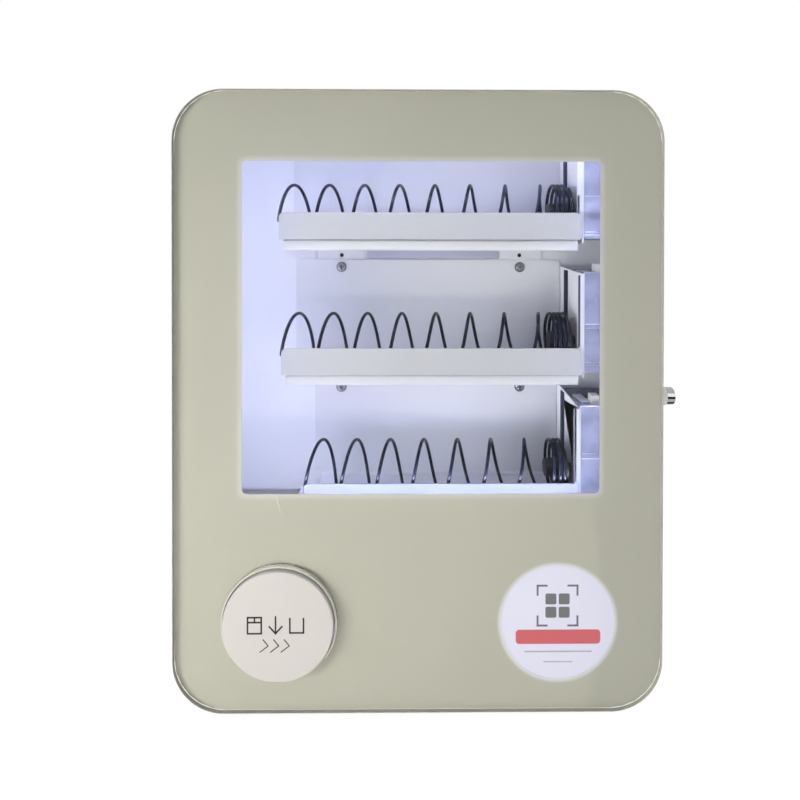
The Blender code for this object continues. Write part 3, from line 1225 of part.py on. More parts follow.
def make_tray_screws(name, axis, screw_rise):
    """Two pan-head screws that hold a tray to the inner panel."""
    under = TRAY_BACK - SEAT_GAP
    face = under - SCREW_HEAD_HEIGHT
    tip = under + SCREW_LENGTH
    profile = ((face, 0), (face, SCREW_HEAD_RADIUS * 2 / 3),
               (face + SCREW_HEAD_HEIGHT / 3, SCREW_HEAD_RADIUS), (under, SCREW_HEAD_RADIUS),
               (under, SCREW_SHANK_RADIUS), (tip, SCREW_SHANK_RADIUS), (tip, 0))
    for side, centre in zip(("left", "right"), screw_places(axis, screw_rise)):
        screw = turned("tray_screw_" + name + "_" + side, profile, "depth", centre, SMALL_STEPS)
        give_finish(screw, "bare_steel")


# Electronics

def make_power_supply():
    """Closed power supply on the cabinet's floor."""
    low = BODY_INSET + SHEET + SEAT_GAP
    supply = box("power_supply", SUPPLY_LEFT, SUPPLY_RIGHT, SUPPLY_FRONT,
                 BACK_INNER - SUPPLY_REAR_GAP, low, low + SUPPLY_HEIGHT)
    bevel = supply.modifiers.new("edges", "BEVEL")
    bevel.width = SUPPLY_BEVEL
    bevel.segments = 1
    return give_finish(supply, "black_plastic")


def make_control_board():
    """Control board with a chip, sockets and the four posts that it stands on."""
    back = BACK_INNER - SEAT_GAP - BOARD_STANDOFF
    front = back - BOARD_THICK
    high = BOARD_BASE + BOARD_HEIGHT
    right = BOARD_LEFT + BOARD_WIDTH
    board = box("control_board", BOARD_LEFT, right, front, back, BOARD_BASE, high)
    rear = front + BOARD_THICK / 2
    chip_left, chip_right = [BOARD_LEFT + share * BOARD_WIDTH for share in CHIP_X_SHARES]
    chip_low, chip_high = [BOARD_BASE + share * BOARD_HEIGHT for share in CHIP_HEIGHT_SHARES]
    pieces = [box("chip", chip_left, chip_right, front - CHIP_THICK, rear, chip_low, chip_high)]
    socket_low, socket_high = [BOARD_BASE + share * BOARD_HEIGHT for share in SOCKET_HEIGHT_SHARES]
    for share in SOCKET_X_SHARES:
        start = BOARD_LEFT + share * BOARD_WIDTH
        pieces.append(box("socket", start, start + SOCKET_WIDTH_SHARE * BOARD_WIDTH,
                          front - SOCKET_THICK, rear, socket_low, socket_high))
    for x in (BOARD_LEFT + BOARD_HOLE_INSET, right - BOARD_HOLE_INSET):
        for height in (BOARD_BASE + BOARD_HOLE_INSET, high - BOARD_HOLE_INSET):
            pieces.append(prism("post", circle(x, height, POST_RADIUS, SMALL_STEPS), "depth",
                                back - BOARD_THICK / 2, back + BOARD_STANDOFF))
    return give_finish(join(board, *pieces), "board_green")


def make_dc_inlet():
    """Round power inlet, flush with the cabinet's back."""
    rear = MACHINE_DEPTH - SEAT_GAP
    flange_back = BACK_INNER - SEAT_GAP
    front = MACHINE_DEPTH - INLET_LENGTH
    floor = front + INLET_FLANGE_THICK
    profile = ((front, 0), (front, INLET_RADIUS), (flange_back - INLET_FLANGE_THICK, INLET_RADIUS),
               (flange_back - INLET_FLANGE_THICK, INLET_FLANGE), (flange_back, INLET_FLANGE),
               (flange_back, INLET_RADIUS), (rear, INLET_RADIUS), (rear, INLET_BORE), (floor, INLET_BORE),
               (floor, INLET_PIN), (rear - INLET_PIN, INLET_PIN), (rear - INLET_PIN, 0))
    centre = (BODY_RIGHT - INLET_INSET, INLET_HEIGHT)
    return give_finish(turned("dc_inlet", profile, "depth", centre, BARREL_STEPS), "black_plastic")


def build_tier(name, axis, left, first_peak, last_peak, coils, motor_x, screw_rise):
    """One tier: the tray and what it carries, and the spiral on its hub."""
    make_tray(name, axis, left, motor_x, screw_rise)
    make_tray_screws(name, axis, screw_rise)
    make_guard(name, axis, left, motor_x)
    make_motor_plate(name, axis, motor_x)
    make_motor_can(name, axis, motor_x)
    make_gear_motor(name, axis, motor_x)
    where = place(motor_x, SPIRAL_DEPTH, axis)
    hub = set_origin(make_drive_hub(name, axis, motor_x), where)
    hang(hub, set_origin(make_spiral(name, axis, first_peak, last_peak, coils, motor_x), where))


def build():
    """Make every piece and parent the moving ones to the piece on their joint's axis."""
    clear_scene()
    make_cabinet_shell()
    make_back_panel()
    make_inner_panel()
    make_wire_clip()
    make_feet()
    make_deck()
    make_pickup_bin()
    make_hinge_leaf_cabinet()
    make_hinge_pin()
    make_power_supply()
    make_control_board()
    make_dc_inlet()

    leaf = set_origin(make_hinge_leaf_door(), place(HINGE_X, HINGE_DEPTH, MIDDLE_HEIGHT))
    flap = set_origin(make_flap_disc(), place(FLAP_X, FLAP_AXIS_DEPTH, FLAP_AXIS_HEIGHT))
    hang(leaf, make_glass_panel(), make_mask_film(), make_door_pan(), make_strike_bracket(),
         make_door_gasket(), make_led_frame(), *make_label(), make_flap_frame(), make_flap_pin(), flap)
    hang(flap, make_flap_spring())

    lock_body, lock_nut, lock_plug, lock_cam = make_lock()
    hang(set_origin(lock_plug, place(LOCK_END, LOCK_DEPTH, MIDDLE_HEIGHT)), lock_cam)

    for tier in TIERS:
        build_tier(*tier)


build()
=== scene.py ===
"""Dressed model of a counter vending machine for power banks: finer pieces, finishes, light and camera."""
import json
import math

import bmesh
import bpy
import numpy as np
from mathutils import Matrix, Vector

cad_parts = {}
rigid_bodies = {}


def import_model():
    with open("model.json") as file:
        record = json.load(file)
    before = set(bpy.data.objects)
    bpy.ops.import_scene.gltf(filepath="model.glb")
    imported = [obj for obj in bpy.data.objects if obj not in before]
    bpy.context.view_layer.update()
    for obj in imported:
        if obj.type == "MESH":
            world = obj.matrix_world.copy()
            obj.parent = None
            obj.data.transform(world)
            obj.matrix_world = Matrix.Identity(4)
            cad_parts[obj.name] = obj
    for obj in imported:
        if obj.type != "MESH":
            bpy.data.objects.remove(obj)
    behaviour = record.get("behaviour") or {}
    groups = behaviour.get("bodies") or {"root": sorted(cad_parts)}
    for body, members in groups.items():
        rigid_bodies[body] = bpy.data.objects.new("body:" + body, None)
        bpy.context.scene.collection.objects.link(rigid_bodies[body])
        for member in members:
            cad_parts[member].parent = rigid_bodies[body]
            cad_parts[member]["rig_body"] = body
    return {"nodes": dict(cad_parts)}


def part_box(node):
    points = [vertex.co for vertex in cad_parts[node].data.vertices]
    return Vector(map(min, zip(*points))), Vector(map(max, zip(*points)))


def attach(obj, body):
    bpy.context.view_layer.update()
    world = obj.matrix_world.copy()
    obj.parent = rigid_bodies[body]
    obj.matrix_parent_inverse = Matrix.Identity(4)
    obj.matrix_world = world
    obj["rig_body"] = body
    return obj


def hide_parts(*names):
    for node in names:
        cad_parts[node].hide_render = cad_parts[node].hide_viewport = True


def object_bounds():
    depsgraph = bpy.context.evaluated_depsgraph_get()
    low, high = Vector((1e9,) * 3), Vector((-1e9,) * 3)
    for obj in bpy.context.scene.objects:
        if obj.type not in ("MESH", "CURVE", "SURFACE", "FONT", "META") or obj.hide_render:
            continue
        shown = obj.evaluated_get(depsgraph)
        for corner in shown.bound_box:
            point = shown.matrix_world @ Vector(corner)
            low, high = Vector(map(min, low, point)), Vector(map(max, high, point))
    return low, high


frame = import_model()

CAD_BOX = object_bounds()
TIER_NAMES = ("top", "middle", "bottom")

# Sizes of the machine in metres, as in its source
DEPTH = 0.130
MIDDLE_HEIGHT = 0.254
PANEL_WIDTH = 0.400
PANEL_HEIGHT = 0.508
PANEL_CORNER = 0.042
GLASS_THICK = 0.005
BEVEL_WIDTH = 0.0009
BEVEL_DEPTH = 0.0007
HOLE_EDGE = 0.0002
MASK_RIM = 0.0022
MASK_REACH = 0.0016
PAN_FRONT = 0.0060
WINDOW_X = 0.0022
WINDOW_CENTRE = 0.3139
WINDOW_WIDTH = 0.294
WINDOW_HEIGHT = 0.273
WINDOW_CORNER = 0.0045
FLAP_X = -0.1135
FLAP_HEIGHT = 0.073
FLAP_RADIUS = 0.045
FLAP_HOLE = 0.0475
FLAP_FACE = -0.0035
FLAP_PLATE = 0.0024
FLAP_REAR = FLAP_FACE + 0.0095
FLAP_WALL = 0.002
FLAP_EAR = 0.0045
FLAP_EAR_X = 0.012
FLAP_AXIS_HEIGHT = 0.111
FLAP_AXIS_DEPTH = 0.014
LABEL_X = 0.115
LABEL_HEIGHT = 0.071
LABEL_RADIUS = 0.0469
LABEL_RIM = 0.0014
LABEL_BACK = 0.0078
LOCK_DEPTH = 0.020
LOCK_TAIL = 0.180
LOCK_SEAT = 0.1963
LOCK_COLLAR_END = 0.2090
LOCK_END = 0.2162
LOCK_BORE = 0.0046
LOCK_HEAD = 0.0073
SPIRAL_DEPTH = 0.061
SPIRAL_RADIUS = 0.0242
WIRE_RADIUS = 0.0015
TIGHT_PITCH = 0.0040
BLEND_TURNS = 0.5
LEAD_IN_TURNS = 0.32
WIRE_END_GAP = 0.008
SPRING_COIL = 0.0034
SPRING_WIRE = 0.0008
SPRING_PITCH = 0.0014
SPRING_TURNS = 5.25
SCREW_RADIUS = 0.0046
SCREW_TALL = 0.0024
TRAY_BACK = 0.1084
SCREW_SEAT = TRAY_BACK - 0.0003

# Axis height, first and last wide peak, wide coils and motor plate of each tier
TIERS = {
    "top": (0.413, -0.1130, 0.1124, 7, 0.1431),
    "middle": (0.295, -0.1109, 0.1111, 7, 0.1440),
    "bottom": (0.177, -0.0904, 0.1138, 6.5, 0.1410),
}


# Shapes: every part is a list of points and the faces between them

def place(x, depth, height):
    """Machine coordinates to the frame: depth runs back from the glass, height up from its edge."""
    x, depth, height = np.broadcast_arrays(x, depth, height)
    return np.stack([x, depth - DEPTH, height - MIDDLE_HEIGHT], axis=-1).astype(float)


def grid(points, ring=True, loop=False, caps=True):
    """Faces between neighbours of a grid of points, whose rows can close into rings.

    A ring joins a row's last point to its first, a loop joins the last row to the first row,
    and caps close the first and last row with one face each.
    """
    rows, columns = points.shape[:2]
    index = np.arange(rows * columns).reshape(rows, columns)
    across = np.roll(index, -1, axis=1)
    quads = np.stack([index, across, np.roll(across, -1, axis=0), np.roll(index, -1, axis=0)], axis=-1)
    quads = quads[:rows if loop else rows - 1, :columns if ring else columns - 1]
    faces = quads.reshape(-1, 4).tolist()
    if caps and not loop:
        faces += [index[0].tolist(), index[-1][::-1].tolist()]
    return points.reshape(-1, 3), faces


def rounded(corners, radii, steps=5, closed=True):
    """Outline with each corner replaced by an arc: points on the circle that touches both sides."""
    corners = np.asarray(corners, float)
    radii = np.broadcast_to(radii, len(corners))
    turn = np.linspace(0, 1, steps + 1)[:, None]
    outline = []
    for i, (corner, radius) in enumerate(zip(corners, radii)):
        if radius <= 0 or (not closed and i in (0, len(corners) - 1)):
            outline.append(corner[None])
            continue
        before = corners[i - 1] - corner
        after = corners[(i + 1) % len(corners)] - corner
        before /= np.linalg.norm(before)
        after /= np.linalg.norm(after)
        opening = math.acos(float(np.clip(before @ after, -1, 1)))
        reach = radius / math.tan(opening / 2)
        middle = corner + (before + after) / np.linalg.norm(before + after) * radius / math.sin(opening / 2)
        start = corner + before * reach - middle
        stop = corner + after * reach - middle
        sweep = math.pi - opening
        swung = np.sin((1 - turn) * sweep) * start + np.sin(turn * sweep) * stop
        outline.append(middle + swung / math.sin(sweep))
    return np.concatenate(outline)


def round_rectangle(x, height, width, tall, radius, steps=12):
    """Rectangle with four arcs for corners."""
    half_w, half_h = width / 2, tall / 2
    corners = [(x - half_w, height - half_h), (x + half_w, height - half_h), (x + half_w, height + half_h),
               (x - half_w, height + half_h)]
    return rounded(corners, radius, steps)


def inset(outline, distance):
    """Outline moved inwards: each point shifts along the mean of its two side normals."""
    before = outline - np.roll(outline, 1, axis=0)
    after = np.roll(outline, -1, axis=0) - outline
    before /= np.maximum(np.linalg.norm(before, axis=1, keepdims=True), 1e-12)
    after /= np.maximum(np.linalg.norm(after, axis=1, keepdims=True), 1e-12)
    area = np.sum(outline[:, 0] * np.roll(outline[:, 1], -1) - outline[:, 1] * np.roll(outline[:, 0], -1))
    normal = np.stack([-(before + after)[:, 1], (before + after)[:, 0]], axis=1) * np.sign(area)
    length = np.maximum(np.linalg.norm(normal, axis=1, keepdims=True), 1e-9)
    normal /= length
    mitre = np.maximum(length / 2, 0.5)
    return outline + normal * distance / mitre


def slab(outline, axis, start, stop, edge=0.0003, steps=3):
    """Outline carried straight along an axis, its two ends drawn in on a quarter circle."""
    angle = np.linspace(0, math.pi / 2, steps + 1)
    draw = edge * (1 - np.sin(angle))
    rise = edge * (1 - np.cos(angle))
    rows = [(start + r, d) for r, d in zip(rise, draw)]
    rows += [(stop - r, d) for r, d in zip(rise[::-1], draw[::-1])]
    points = []
    for w, drawn in rows:
        flat = inset(outline, drawn)
        u, v = flat[:, 0], flat[:, 1]
        points.append({"x": place(w, u, v), "depth": place(u, w, v), "height": place(u, v, w)}[axis])
    return grid(np.stack(points))


def lathe(profile, axis, centre, steps=96, radius=0.0003, arc_steps=3, closed=False, radii=None):
    """Profile of (distance, radius) turned round an axis: cosine and sine of the angle times the radius."""
    profile = rounded(profile, radius if radii is None else radii, arc_steps, closed)
    along, reach = profile[:, :1], np.maximum(profile[:, 1:], 0)
    angle = np.linspace(0, 2 * math.pi, steps, endpoint=False)[None]
    u, v = centre
    if axis == "x":
        points = place(along, u + reach * np.cos(angle), v + reach * np.sin(angle))
    elif axis == "depth":
        points = place(u + reach * np.cos(angle), along, v + reach * np.sin(angle))
    else:
        points = place(u + reach * np.cos(angle), v + reach * np.sin(angle), along)
    return grid(points, loop=closed, caps=not closed)


def tube(path, radius, reference=(1, 0, 0), sides=16):
    """Circle carried along a path, square to it, with its ends rounded over."""
    path = np.asarray(path, float)
    ahead = np.gradient(path, axis=0)
    ahead /= np.linalg.norm(ahead, axis=1, keepdims=True)
    first = np.cross(ahead, np.asarray(reference, float))
    first /= np.linalg.norm(first, axis=1, keepdims=True)
    second = np.cross(ahead, first)
    angle = np.linspace(0, 2 * math.pi, sides, endpoint=False)[None, :, None]
    size = np.full(len(path), radius)
    size[[0, -1]] = radius * 0.75
    ring = np.cos(angle) * first[:, None] + np.sin(angle) * second[:, None]
    return grid(path[:, None] + ring * size[:, None, None])


def carried(outline, profile):
    """Profile of (inset, depth) carried round a front outline: the outline drawn in by each inset."""
    rows = []
    for drawn, depth in profile:
        flat = inset(outline, drawn) if drawn else outline
        rows.append(place(flat[:, 0], depth, flat[:, 1]))
    return grid(np.stack(rows), loop=True)


def piece(name, body, material, parts, replaces=(), sharp=35):
    """Join parts into one piece with outward faces, give it its finish and let it ride on a body."""
    points, faces, count = [], [], 0
    for part_points, part_faces in parts:
        points.append(part_points)
        faces += [[i + count for i in face] for face in part_faces]
        count += len(part_points)
    mesh = bpy.data.meshes.new(name)
    mesh.from_pydata(np.concatenate(points).tolist(), [], faces)
    item = bpy.data.objects.new(name, mesh)
    return settle(item, body, material, replaces, sharp)


def settle(item, body, material, replaces=(), sharp=35):
    """Merge doubles, turn faces outwards, smooth round faces, then hang the piece in the frame."""
    mesh = item.data
    shape = bmesh.new()
    shape.from_mesh(mesh)
    bmesh.ops.remove_doubles(shape, verts=shape.verts, dist=1e-6)
    bmesh.ops.dissolve_degenerate(shape, edges=shape.edges, dist=1e-7)
    bmesh.ops.recalc_face_normals(shape, faces=shape.faces)
    shape.to_mesh(mesh)
    shape.free()
    mesh.shade_smooth()
    mesh.set_sharp_from_angle(angle=math.radians(sharp))
    mesh.materials.clear()
    mesh.materials.append(material)
    bpy.context.scene.collection.objects.link(item)
    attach(item, body)
    if replaces:
        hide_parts(*replaces)
    return item


def refined(node, material, edge=0.00025, sharp=30):
    """Copy of a CAD node with its triangles merged into faces and its edges softened."""
    source = frame["nodes"][node]
    mesh = source.data.copy()
    mesh.name = node + "_refined"
    item = bpy.data.objects.new(node + "_refined", mesh)
    shape = bmesh.new()
    shape.from_mesh(mesh)
    bmesh.ops.remove_doubles(shape, verts=shape.verts, dist=1e-6)
    bmesh.ops.dissolve_limit(shape, angle_limit=math.radians(0.3), verts=shape.verts, edges=shape.edges)
    shape.to_mesh(mesh)
    shape.free()
    for name in [a.name for a in mesh.attributes if a.name in ("custom_normal", "sharp_edge")]:
        mesh.attributes.remove(mesh.attributes[name])
    settle(item, source["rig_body"], material, (node,), sharp)
    if edge:
        soft = item.modifiers.new("soft_edges", "BEVEL")
        soft.width = edge
        soft.segments = 2
        soft.limit_method = "ANGLE"
        soft.angle_limit = math.radians(sharp)
        soft.harden_normals = True
    return item


# Finishes

class Signal:
    """A socket of a material, with arithmetic that adds Math nodes."""

    def __init__(self, tree, socket):
        self.tree = tree
        self.socket = socket

    def node(self, kind, settings=(), stops=(), out=0, **inputs):
        """Any node: its settings and ramp stops are set first, then its sockets' values or links."""
        made = self.tree.nodes.new(kind)
        for key, value in dict(settings).items():
            setattr(made, key, value)
        for number, (position, colour) in enumerate(stops):
            ramp = made.color_ramp.elements
            element = ramp[number] if number < 2 else ramp.new(position)
            element.position = position
            element.color = colour
        for key, value in inputs.items():
            socket = made.inputs[int(key[1:])] if key[1:].isdigit() else made.inputs[key.replace("_", " ")]
            if isinstance(value, Signal):
                self.tree.links.new(value.socket, socket)
            else:
                socket.default_value = value
        return Signal(self.tree, made.outputs[out])

    def math(self, operation, *others, clamp=False):
        inputs = {"i" + str(number): value for number, value in enumerate((self, *others))}
        return self.node("ShaderNodeMath", {"operation": operation, "use_clamp": clamp}, **inputs)

    def __add__(self, other):
        return self.math("ADD", other)

    def __radd__(self, other):
        return self.math("ADD", other)

    def __sub__(self, other):
        return self.math("SUBTRACT", other)

    def __rsub__(self, other):
        return (self * -1.0) + other

    def __mul__(self, other):
        return self.math("MULTIPLY", other)

    def __rmul__(self, other):
        return self.math("MULTIPLY", other)

    def __truediv__(self, other):
        return self.math("DIVIDE", other)

    def __abs__(self):
        return self.math("ABSOLUTE")

    def at_least(self, other):
        return self.math("MAXIMUM", other)

    def at_most(self, other):
        return self.math("MINIMUM", other)

    def falls(self, start, stop):
        """1 at start, falling smoothly to 0 at stop."""
        return self.node("ShaderNodeMapRange", {"interpolation_type": "SMOOTHSTEP"}, Value=self,
                         From_Min=start, From_Max=stop, To_Min=1.0, To_Max=0.0)

    def tint(self, low, high):
        """Colour between two by this value; each is three numbers or a coloured signal."""
        low, high = (end if isinstance(end, Signal) else (*end, 1.0) for end in (low, high))
        return self.node("ShaderNodeMix", {"data_type": "RGBA", "clamp_factor": True}, out=2,
                         i0=self, i6=low, i7=high)

    def bumps(self, distance, strength=1.0):
        """Normal that follows this value as a height in metres."""
        return self.node("ShaderNodeBump", Height=self, Distance=distance, Strength=strength)


class Finish:
    """A Principled material whose varying sockets come from Object coordinates."""

    def __init__(self, name, colour=(0.8, 0.8, 0.8), roughness=0.5, metallic=0.0, **plain):
        self.material = bpy.data.materials.new(name)
        self.material.use_nodes = True
        self.tree = self.material.node_tree
        self.shader = self.tree.nodes["Principled BSDF"]
        self.output = self.tree.nodes["Material Output"]
        self.any = Signal(self.tree, None)
        self.place = self.any.node("ShaderNodeTexCoord", out=3)
        self.set(Base_Color=(*colour, 1.0), Roughness=roughness, Metallic=metallic, **plain)

    def set(self, **sockets):
        for key, value in sockets.items():
            socket = self.shader.inputs[key.replace("_", " ")]
            if isinstance(value, Signal):
                self.tree.links.new(value.socket, socket)
            else:
                socket.default_value = value
        return self

    def noise(self, scale, detail=3.0, stretch=None, rough=0.5):
        """Noise in Object coordinates, stretched along an axis where asked."""
        where = self.place
        if stretch:
            where = self.any.node("ShaderNodeMapping", i0=where, i3=stretch)
        return self.any.node("ShaderNodeTexNoise", Vector=where, Scale=scale, Detail=detail, Roughness=rough)

    def axes(self):
        """The x, depth-wise and upright coordinate as three signals."""
        split = self.tree.nodes.new("ShaderNodeSeparateXYZ")
        self.tree.links.new(self.place.socket, split.inputs[0])
        return [Signal(self.tree, out) for out in split.outputs]


def distance_to_rectangle(x, z, centre_x, centre_z, width, tall, corner):
    """How far a point lies outside a rounded rectangle, in metres, and below 0 inside it."""
    past_x = abs(x - centre_x) - (width / 2 - corner)
    past_z = abs(z - centre_z) - (tall / 2 - corner)
    outside_x = past_x.at_least(0.0)
    outside_z = past_z.at_least(0.0)
    outside = (outside_x * outside_x + outside_z * outside_z).math("SQRT")
    inside = past_x.at_least(past_z).at_most(0.0)
    return outside + inside - corner


def distance_to_circle(x, z, centre_x, centre_z, radius):
    """How far a point lies outside a circle, in metres."""
    along = x - centre_x
    up = z - centre_z
    return (along * along + up * up).math("SQRT") - radius


def painted_steel(name, colour, roughness=0.42, dirt=0.05):
    """Powder paint: a fine orange peel, cloudy gloss and a faint change of tone."""
    finish = Finish(name, colour, roughness)
    cloud = finish.noise(14.0, 3.0)
    peel = finish.noise(1500.0, 2.0)
    darker = tuple(c * (1 - dirt) for c in colour)
    finish.set(Base_Color=cloud.tint(darker, tuple(min(1.0, c * (1 + dirt / 3)) for c in colour)),
               Roughness=cloud * 0.14 + (roughness - 0.07), Normal=peel.bumps(0.00006, 0.35))
    return finish.material


def moulded(name, colour, roughness=0.4, grain=900.0, depth=0.00004, **plain):
    """Moulded plastic: a fine grain with a slow change of gloss."""
    finish = Finish(name, colour, roughness, **plain)
    cloud = finish.noise(25.0, 2.0)
    skin = finish.noise(grain, 2.0)
    low = tuple(c * 0.94 for c in colour)
    finish.set(Base_Color=cloud.tint(low, colour), Roughness=cloud * 0.12 + (roughness - 0.06),
               Normal=skin.bumps(depth, 0.4))
    return finish.material


def bright_steel(name, colour, roughness=0.28, stretch=(1.0, 1.0, 60.0), scale=18.0):
    """Bare or plated steel with drawn streaks and a stain here and there."""
    finish = Finish(name, colour, roughness, 1.0)
    streak = finish.noise(scale, 4.0, stretch)
    stain = finish.noise(70.0, 3.0)
    finish.set(Base_Color=(streak * 0.6 + stain * 0.4).tint(tuple(c * 0.72 for c in colour), colour),
               Roughness=streak * 0.2 + stain * 0.12 + (roughness - 0.15),
               Normal=streak.bumps(0.00005, 0.3))
    return finish.material


def banded_chrome():
    """Chrome of the barrel with five plain bands of painted reflection from the top: mid grey, bright, dark,
    mid grey, dark, in place of the room it would mirror; the collar and end face keep a brushed tone.
    """
    finish = Finish("banded_chrome", (0.8, 0.79, 0.77), 0.2, 1.0)
    x, _, z = finish.axes()
    share = (LOCK_HEAD - z) / (2 * LOCK_HEAD)
    # Painted reflection: grey levels of the bands, from the top of the barrel down
    stops = [(0.0, 0.4), (0.26, 0.8), (0.43, 0.02), (0.57, 0.4), (0.74, 0.02)]
    reflection_bands = finish.any.node("ShaderNodeValToRGB", Fac=share,
                            stops=[(at, (grey, grey, grey, 1.0)) for at, grey in stops])
    reflection_bands.socket.node.color_ramp.interpolation = "CONSTANT"
    brushed = finish.noise(900.0, 3.0, (0.3, 1.0, 1.0)).tint((0.42, 0.41, 0.39), (0.62, 0.60, 0.57))
    face = x.falls(LOCK_END - 0.0006, LOCK_END - 0.0002)
    collar = x.falls(LOCK_COLLAR_END - 0.0002, LOCK_COLLAR_END + 0.0004)
    finish.set(Base_Color=collar.tint(face.tint(brushed, reflection_bands), brushed))
    return finish.material


def galvanised_steel(name):
    """Zinc coat: spangles of different tone, wiped scratches and dull patches."""
    finish = Finish(name, (0.40, 0.41, 0.48), 0.45, 0.75)
    spangle = finish.any.node("ShaderNodeTexVoronoi", Vector=finish.place, Scale=150.0, Randomness=1.0)
    flake = finish.any.node("ShaderNodeTexVoronoi", out=1, Vector=finish.place, Scale=150.0, Randomness=1.0)
    tone = flake.node("ShaderNodeSeparateColor", Color=flake)
    wipe = finish.noise(30.0, 5.0, (9.0, 1.0, 1.0), 0.7)
    scratch = finish.noise(60.0, 6.0, (40.0, 3.0, 1.0), 0.8)
    line = 1.0 - scratch.falls(0.60, 0.66)
    value = tone * 0.28 + wipe * 0.5 + line * 0.25
    finish.set(Base_Color=value.tint((0.16, 0.165, 0.21), (0.42, 0.43, 0.50)),
               Roughness=tone * 0.14 + wipe * 0.2 + 0.3,
               Normal=(spangle * 0.3 + scratch).bumps(0.00008, 0.35))
    return finish.material


def mask_paint():
    """Champagne ink on the glass's back, with painted light: emission in a band round the window and the
    label stands in for their light spilling onto the ink.
    """
    finish = Finish("champagne_mask", (0.405, 0.395, 0.318), 0.30)
    x, _, z = finish.axes()
    window = distance_to_rectangle(x, z, WINDOW_X, WINDOW_CENTRE - MIDDLE_HEIGHT, WINDOW_WIDTH,
                                   WINDOW_HEIGHT, WINDOW_CORNER)
    label = distance_to_circle(x, z, LABEL_X, LABEL_HEIGHT - MIDDLE_HEIGHT, LABEL_RADIUS)
    # Painted light: a glow painted as emission just outside the window and round the label, and a faint halo
    # further out round the window
    glow = (window.falls(0.0005, 0.0060) + label.falls(0.0, 0.0042) * 2.2).at_most(2.2)
    painted_halo = window.falls(0.0, 0.030)
    cloud = finish.noise(9.0, 2.0)
    fleck = finish.noise(2600.0, 2.0)
    base = (cloud * 0.7 + fleck * 0.3).tint((0.415, 0.405, 0.352), (0.445, 0.435, 0.378))
    finish.set(Base_Color=base, Roughness=fleck * 0.1 + 0.25,
               Emission_Color=(glow * 0.17 + painted_halo * 0.01).tint((0.0, 0.0, 0.0), (0.60, 0.62, 0.86)),
               Emission_Strength=1.0)
    return finish.material


def clear_glass():
    """Tempered glass: transmission for the eye, and clear to shadow rays so that light passes."""
    finish = Finish("clear_glass", (0.97, 0.985, 0.975), 0.0, Transmission_Weight=1.0, IOR=1.14)
    shade = finish.tree.nodes.new("ShaderNodeMixShader")
    clear = finish.tree.nodes.new("ShaderNodeBsdfTransparent")
    clear.inputs[0].default_value = (0.95, 0.97, 0.96, 1.0)
    rays = finish.tree.nodes.new("ShaderNodeLightPath")
    finish.tree.links.new(rays.outputs["Is Shadow Ray"], shade.inputs[0])
    finish.tree.links.new(finish.shader.outputs[0], shade.inputs[1])
    finish.tree.links.new(clear.outputs[0], shade.inputs[2])
    finish.tree.links.new(shade.outputs[0], finish.output.inputs[0])
    return finish.material


def lit_plastic(name, colour, strength, albedo=0.8):
    """Milky plastic lit from behind, its glow varying a touch in soft random clouds."""
    finish = Finish(name, tuple(c * albedo for c in colour), 0.35)
    cloud = finish.noise(40.0, 2.0)
    finish.set(Emission_Color=cloud.tint(tuple(c * 0.94 for c in colour), colour), Emission_Strength=strength)
    return finish.material


WHITE_STEEL = painted_steel("white_steel_paint", (0.68, 0.685, 0.73))
# Painted shade: the guards, the bottom guard and the trays are of the same white steel, given darker copies
# of its paint that stand in for the shade they lie in
GUARD_SHADED_PAINT = painted_steel("guard_paint", (0.44, 0.445, 0.475))
BOTTOM_GUARD_SHADED_PAINT = painted_steel("bottom_guard_paint", (0.28, 0.295, 0.34))
TRAY_SHADED_PAINT = painted_steel("tray_paint", (0.60, 0.605, 0.655))
# Painted shade: the duct strip's dark bluish paint stands in for the shade in the cable slot
DUCT_SHADE_PAINT = painted_steel("duct_painted_shade", (0.40, 0.41, 0.53))
PALE_INSERT = moulded("pale_insert", (0.55, 0.56, 0.62), 0.4)
ZINC_HIGHLIGHT = bright_steel("zinc_painted_highlight", (0.80, 0.81, 0.90), 0.35)
CABINET_PAINT = painted_steel("cabinet_paint", (0.74, 0.74, 0.73), 0.38)
MASK = mask_paint()
GLASS = clear_glass()
LIP_PLASTIC = moulded("lip_plastic", (0.56, 0.55, 0.50), 0.55)
FLAP_PLASTIC = moulded("flap_plastic", (0.56, 0.545, 0.545), 0.34)
WHITE_PLASTIC = moulded("white_plastic", (0.78, 0.765, 0.745), 0.38)
BLACK_PLASTIC = moulded("black_plastic", (0.022, 0.022, 0.026), 0.42)
GREY_PLASTIC = moulded("grey_plastic", (0.32, 0.33, 0.38), 0.5)
CREAM_PLASTIC = moulded("cream_plastic", (0.74, 0.72, 0.66), 0.45)
RUBBER = moulded("rubber", (0.03, 0.03, 0.032), 0.78, 600.0, 0.0001)
BLACK_WIRE = moulded("black_wire_paint", (0.002, 0.003, 0.012), 0.22, 700.0, 0.00003, Specular_IOR_Level=0.2)
BARE_STEEL = bright_steel("bare_steel", (0.62, 0.62, 0.63))
HINGE_STEEL = bright_steel("hinge_steel", (0.60, 0.60, 0.61), 0.34, (50.0, 50.0, 1.0))
SCREW_STEEL = bright_steel("screw_steel", (0.47, 0.47, 0.52), 0.22, (1.0, 1.0, 1.0), 400.0)
CHROME = bright_steel("chrome", (0.80, 0.79, 0.77), 0.16, (1.0, 1.0, 1.0), 30.0)
PAINTED_REFLECTION_CHROME = banded_chrome()
SCREW_SHADE = bright_steel("screw_painted_shade", (0.05, 0.05, 0.065), 0.4, (1.0, 1.0, 1.0), 300.0)
HOLE_SHADE = moulded("hole_painted_shade", (0.003, 0.003, 0.009), 0.8)
HUB_PLASTIC = moulded("hub_plastic", (0.005, 0.005, 0.013), 0.5)
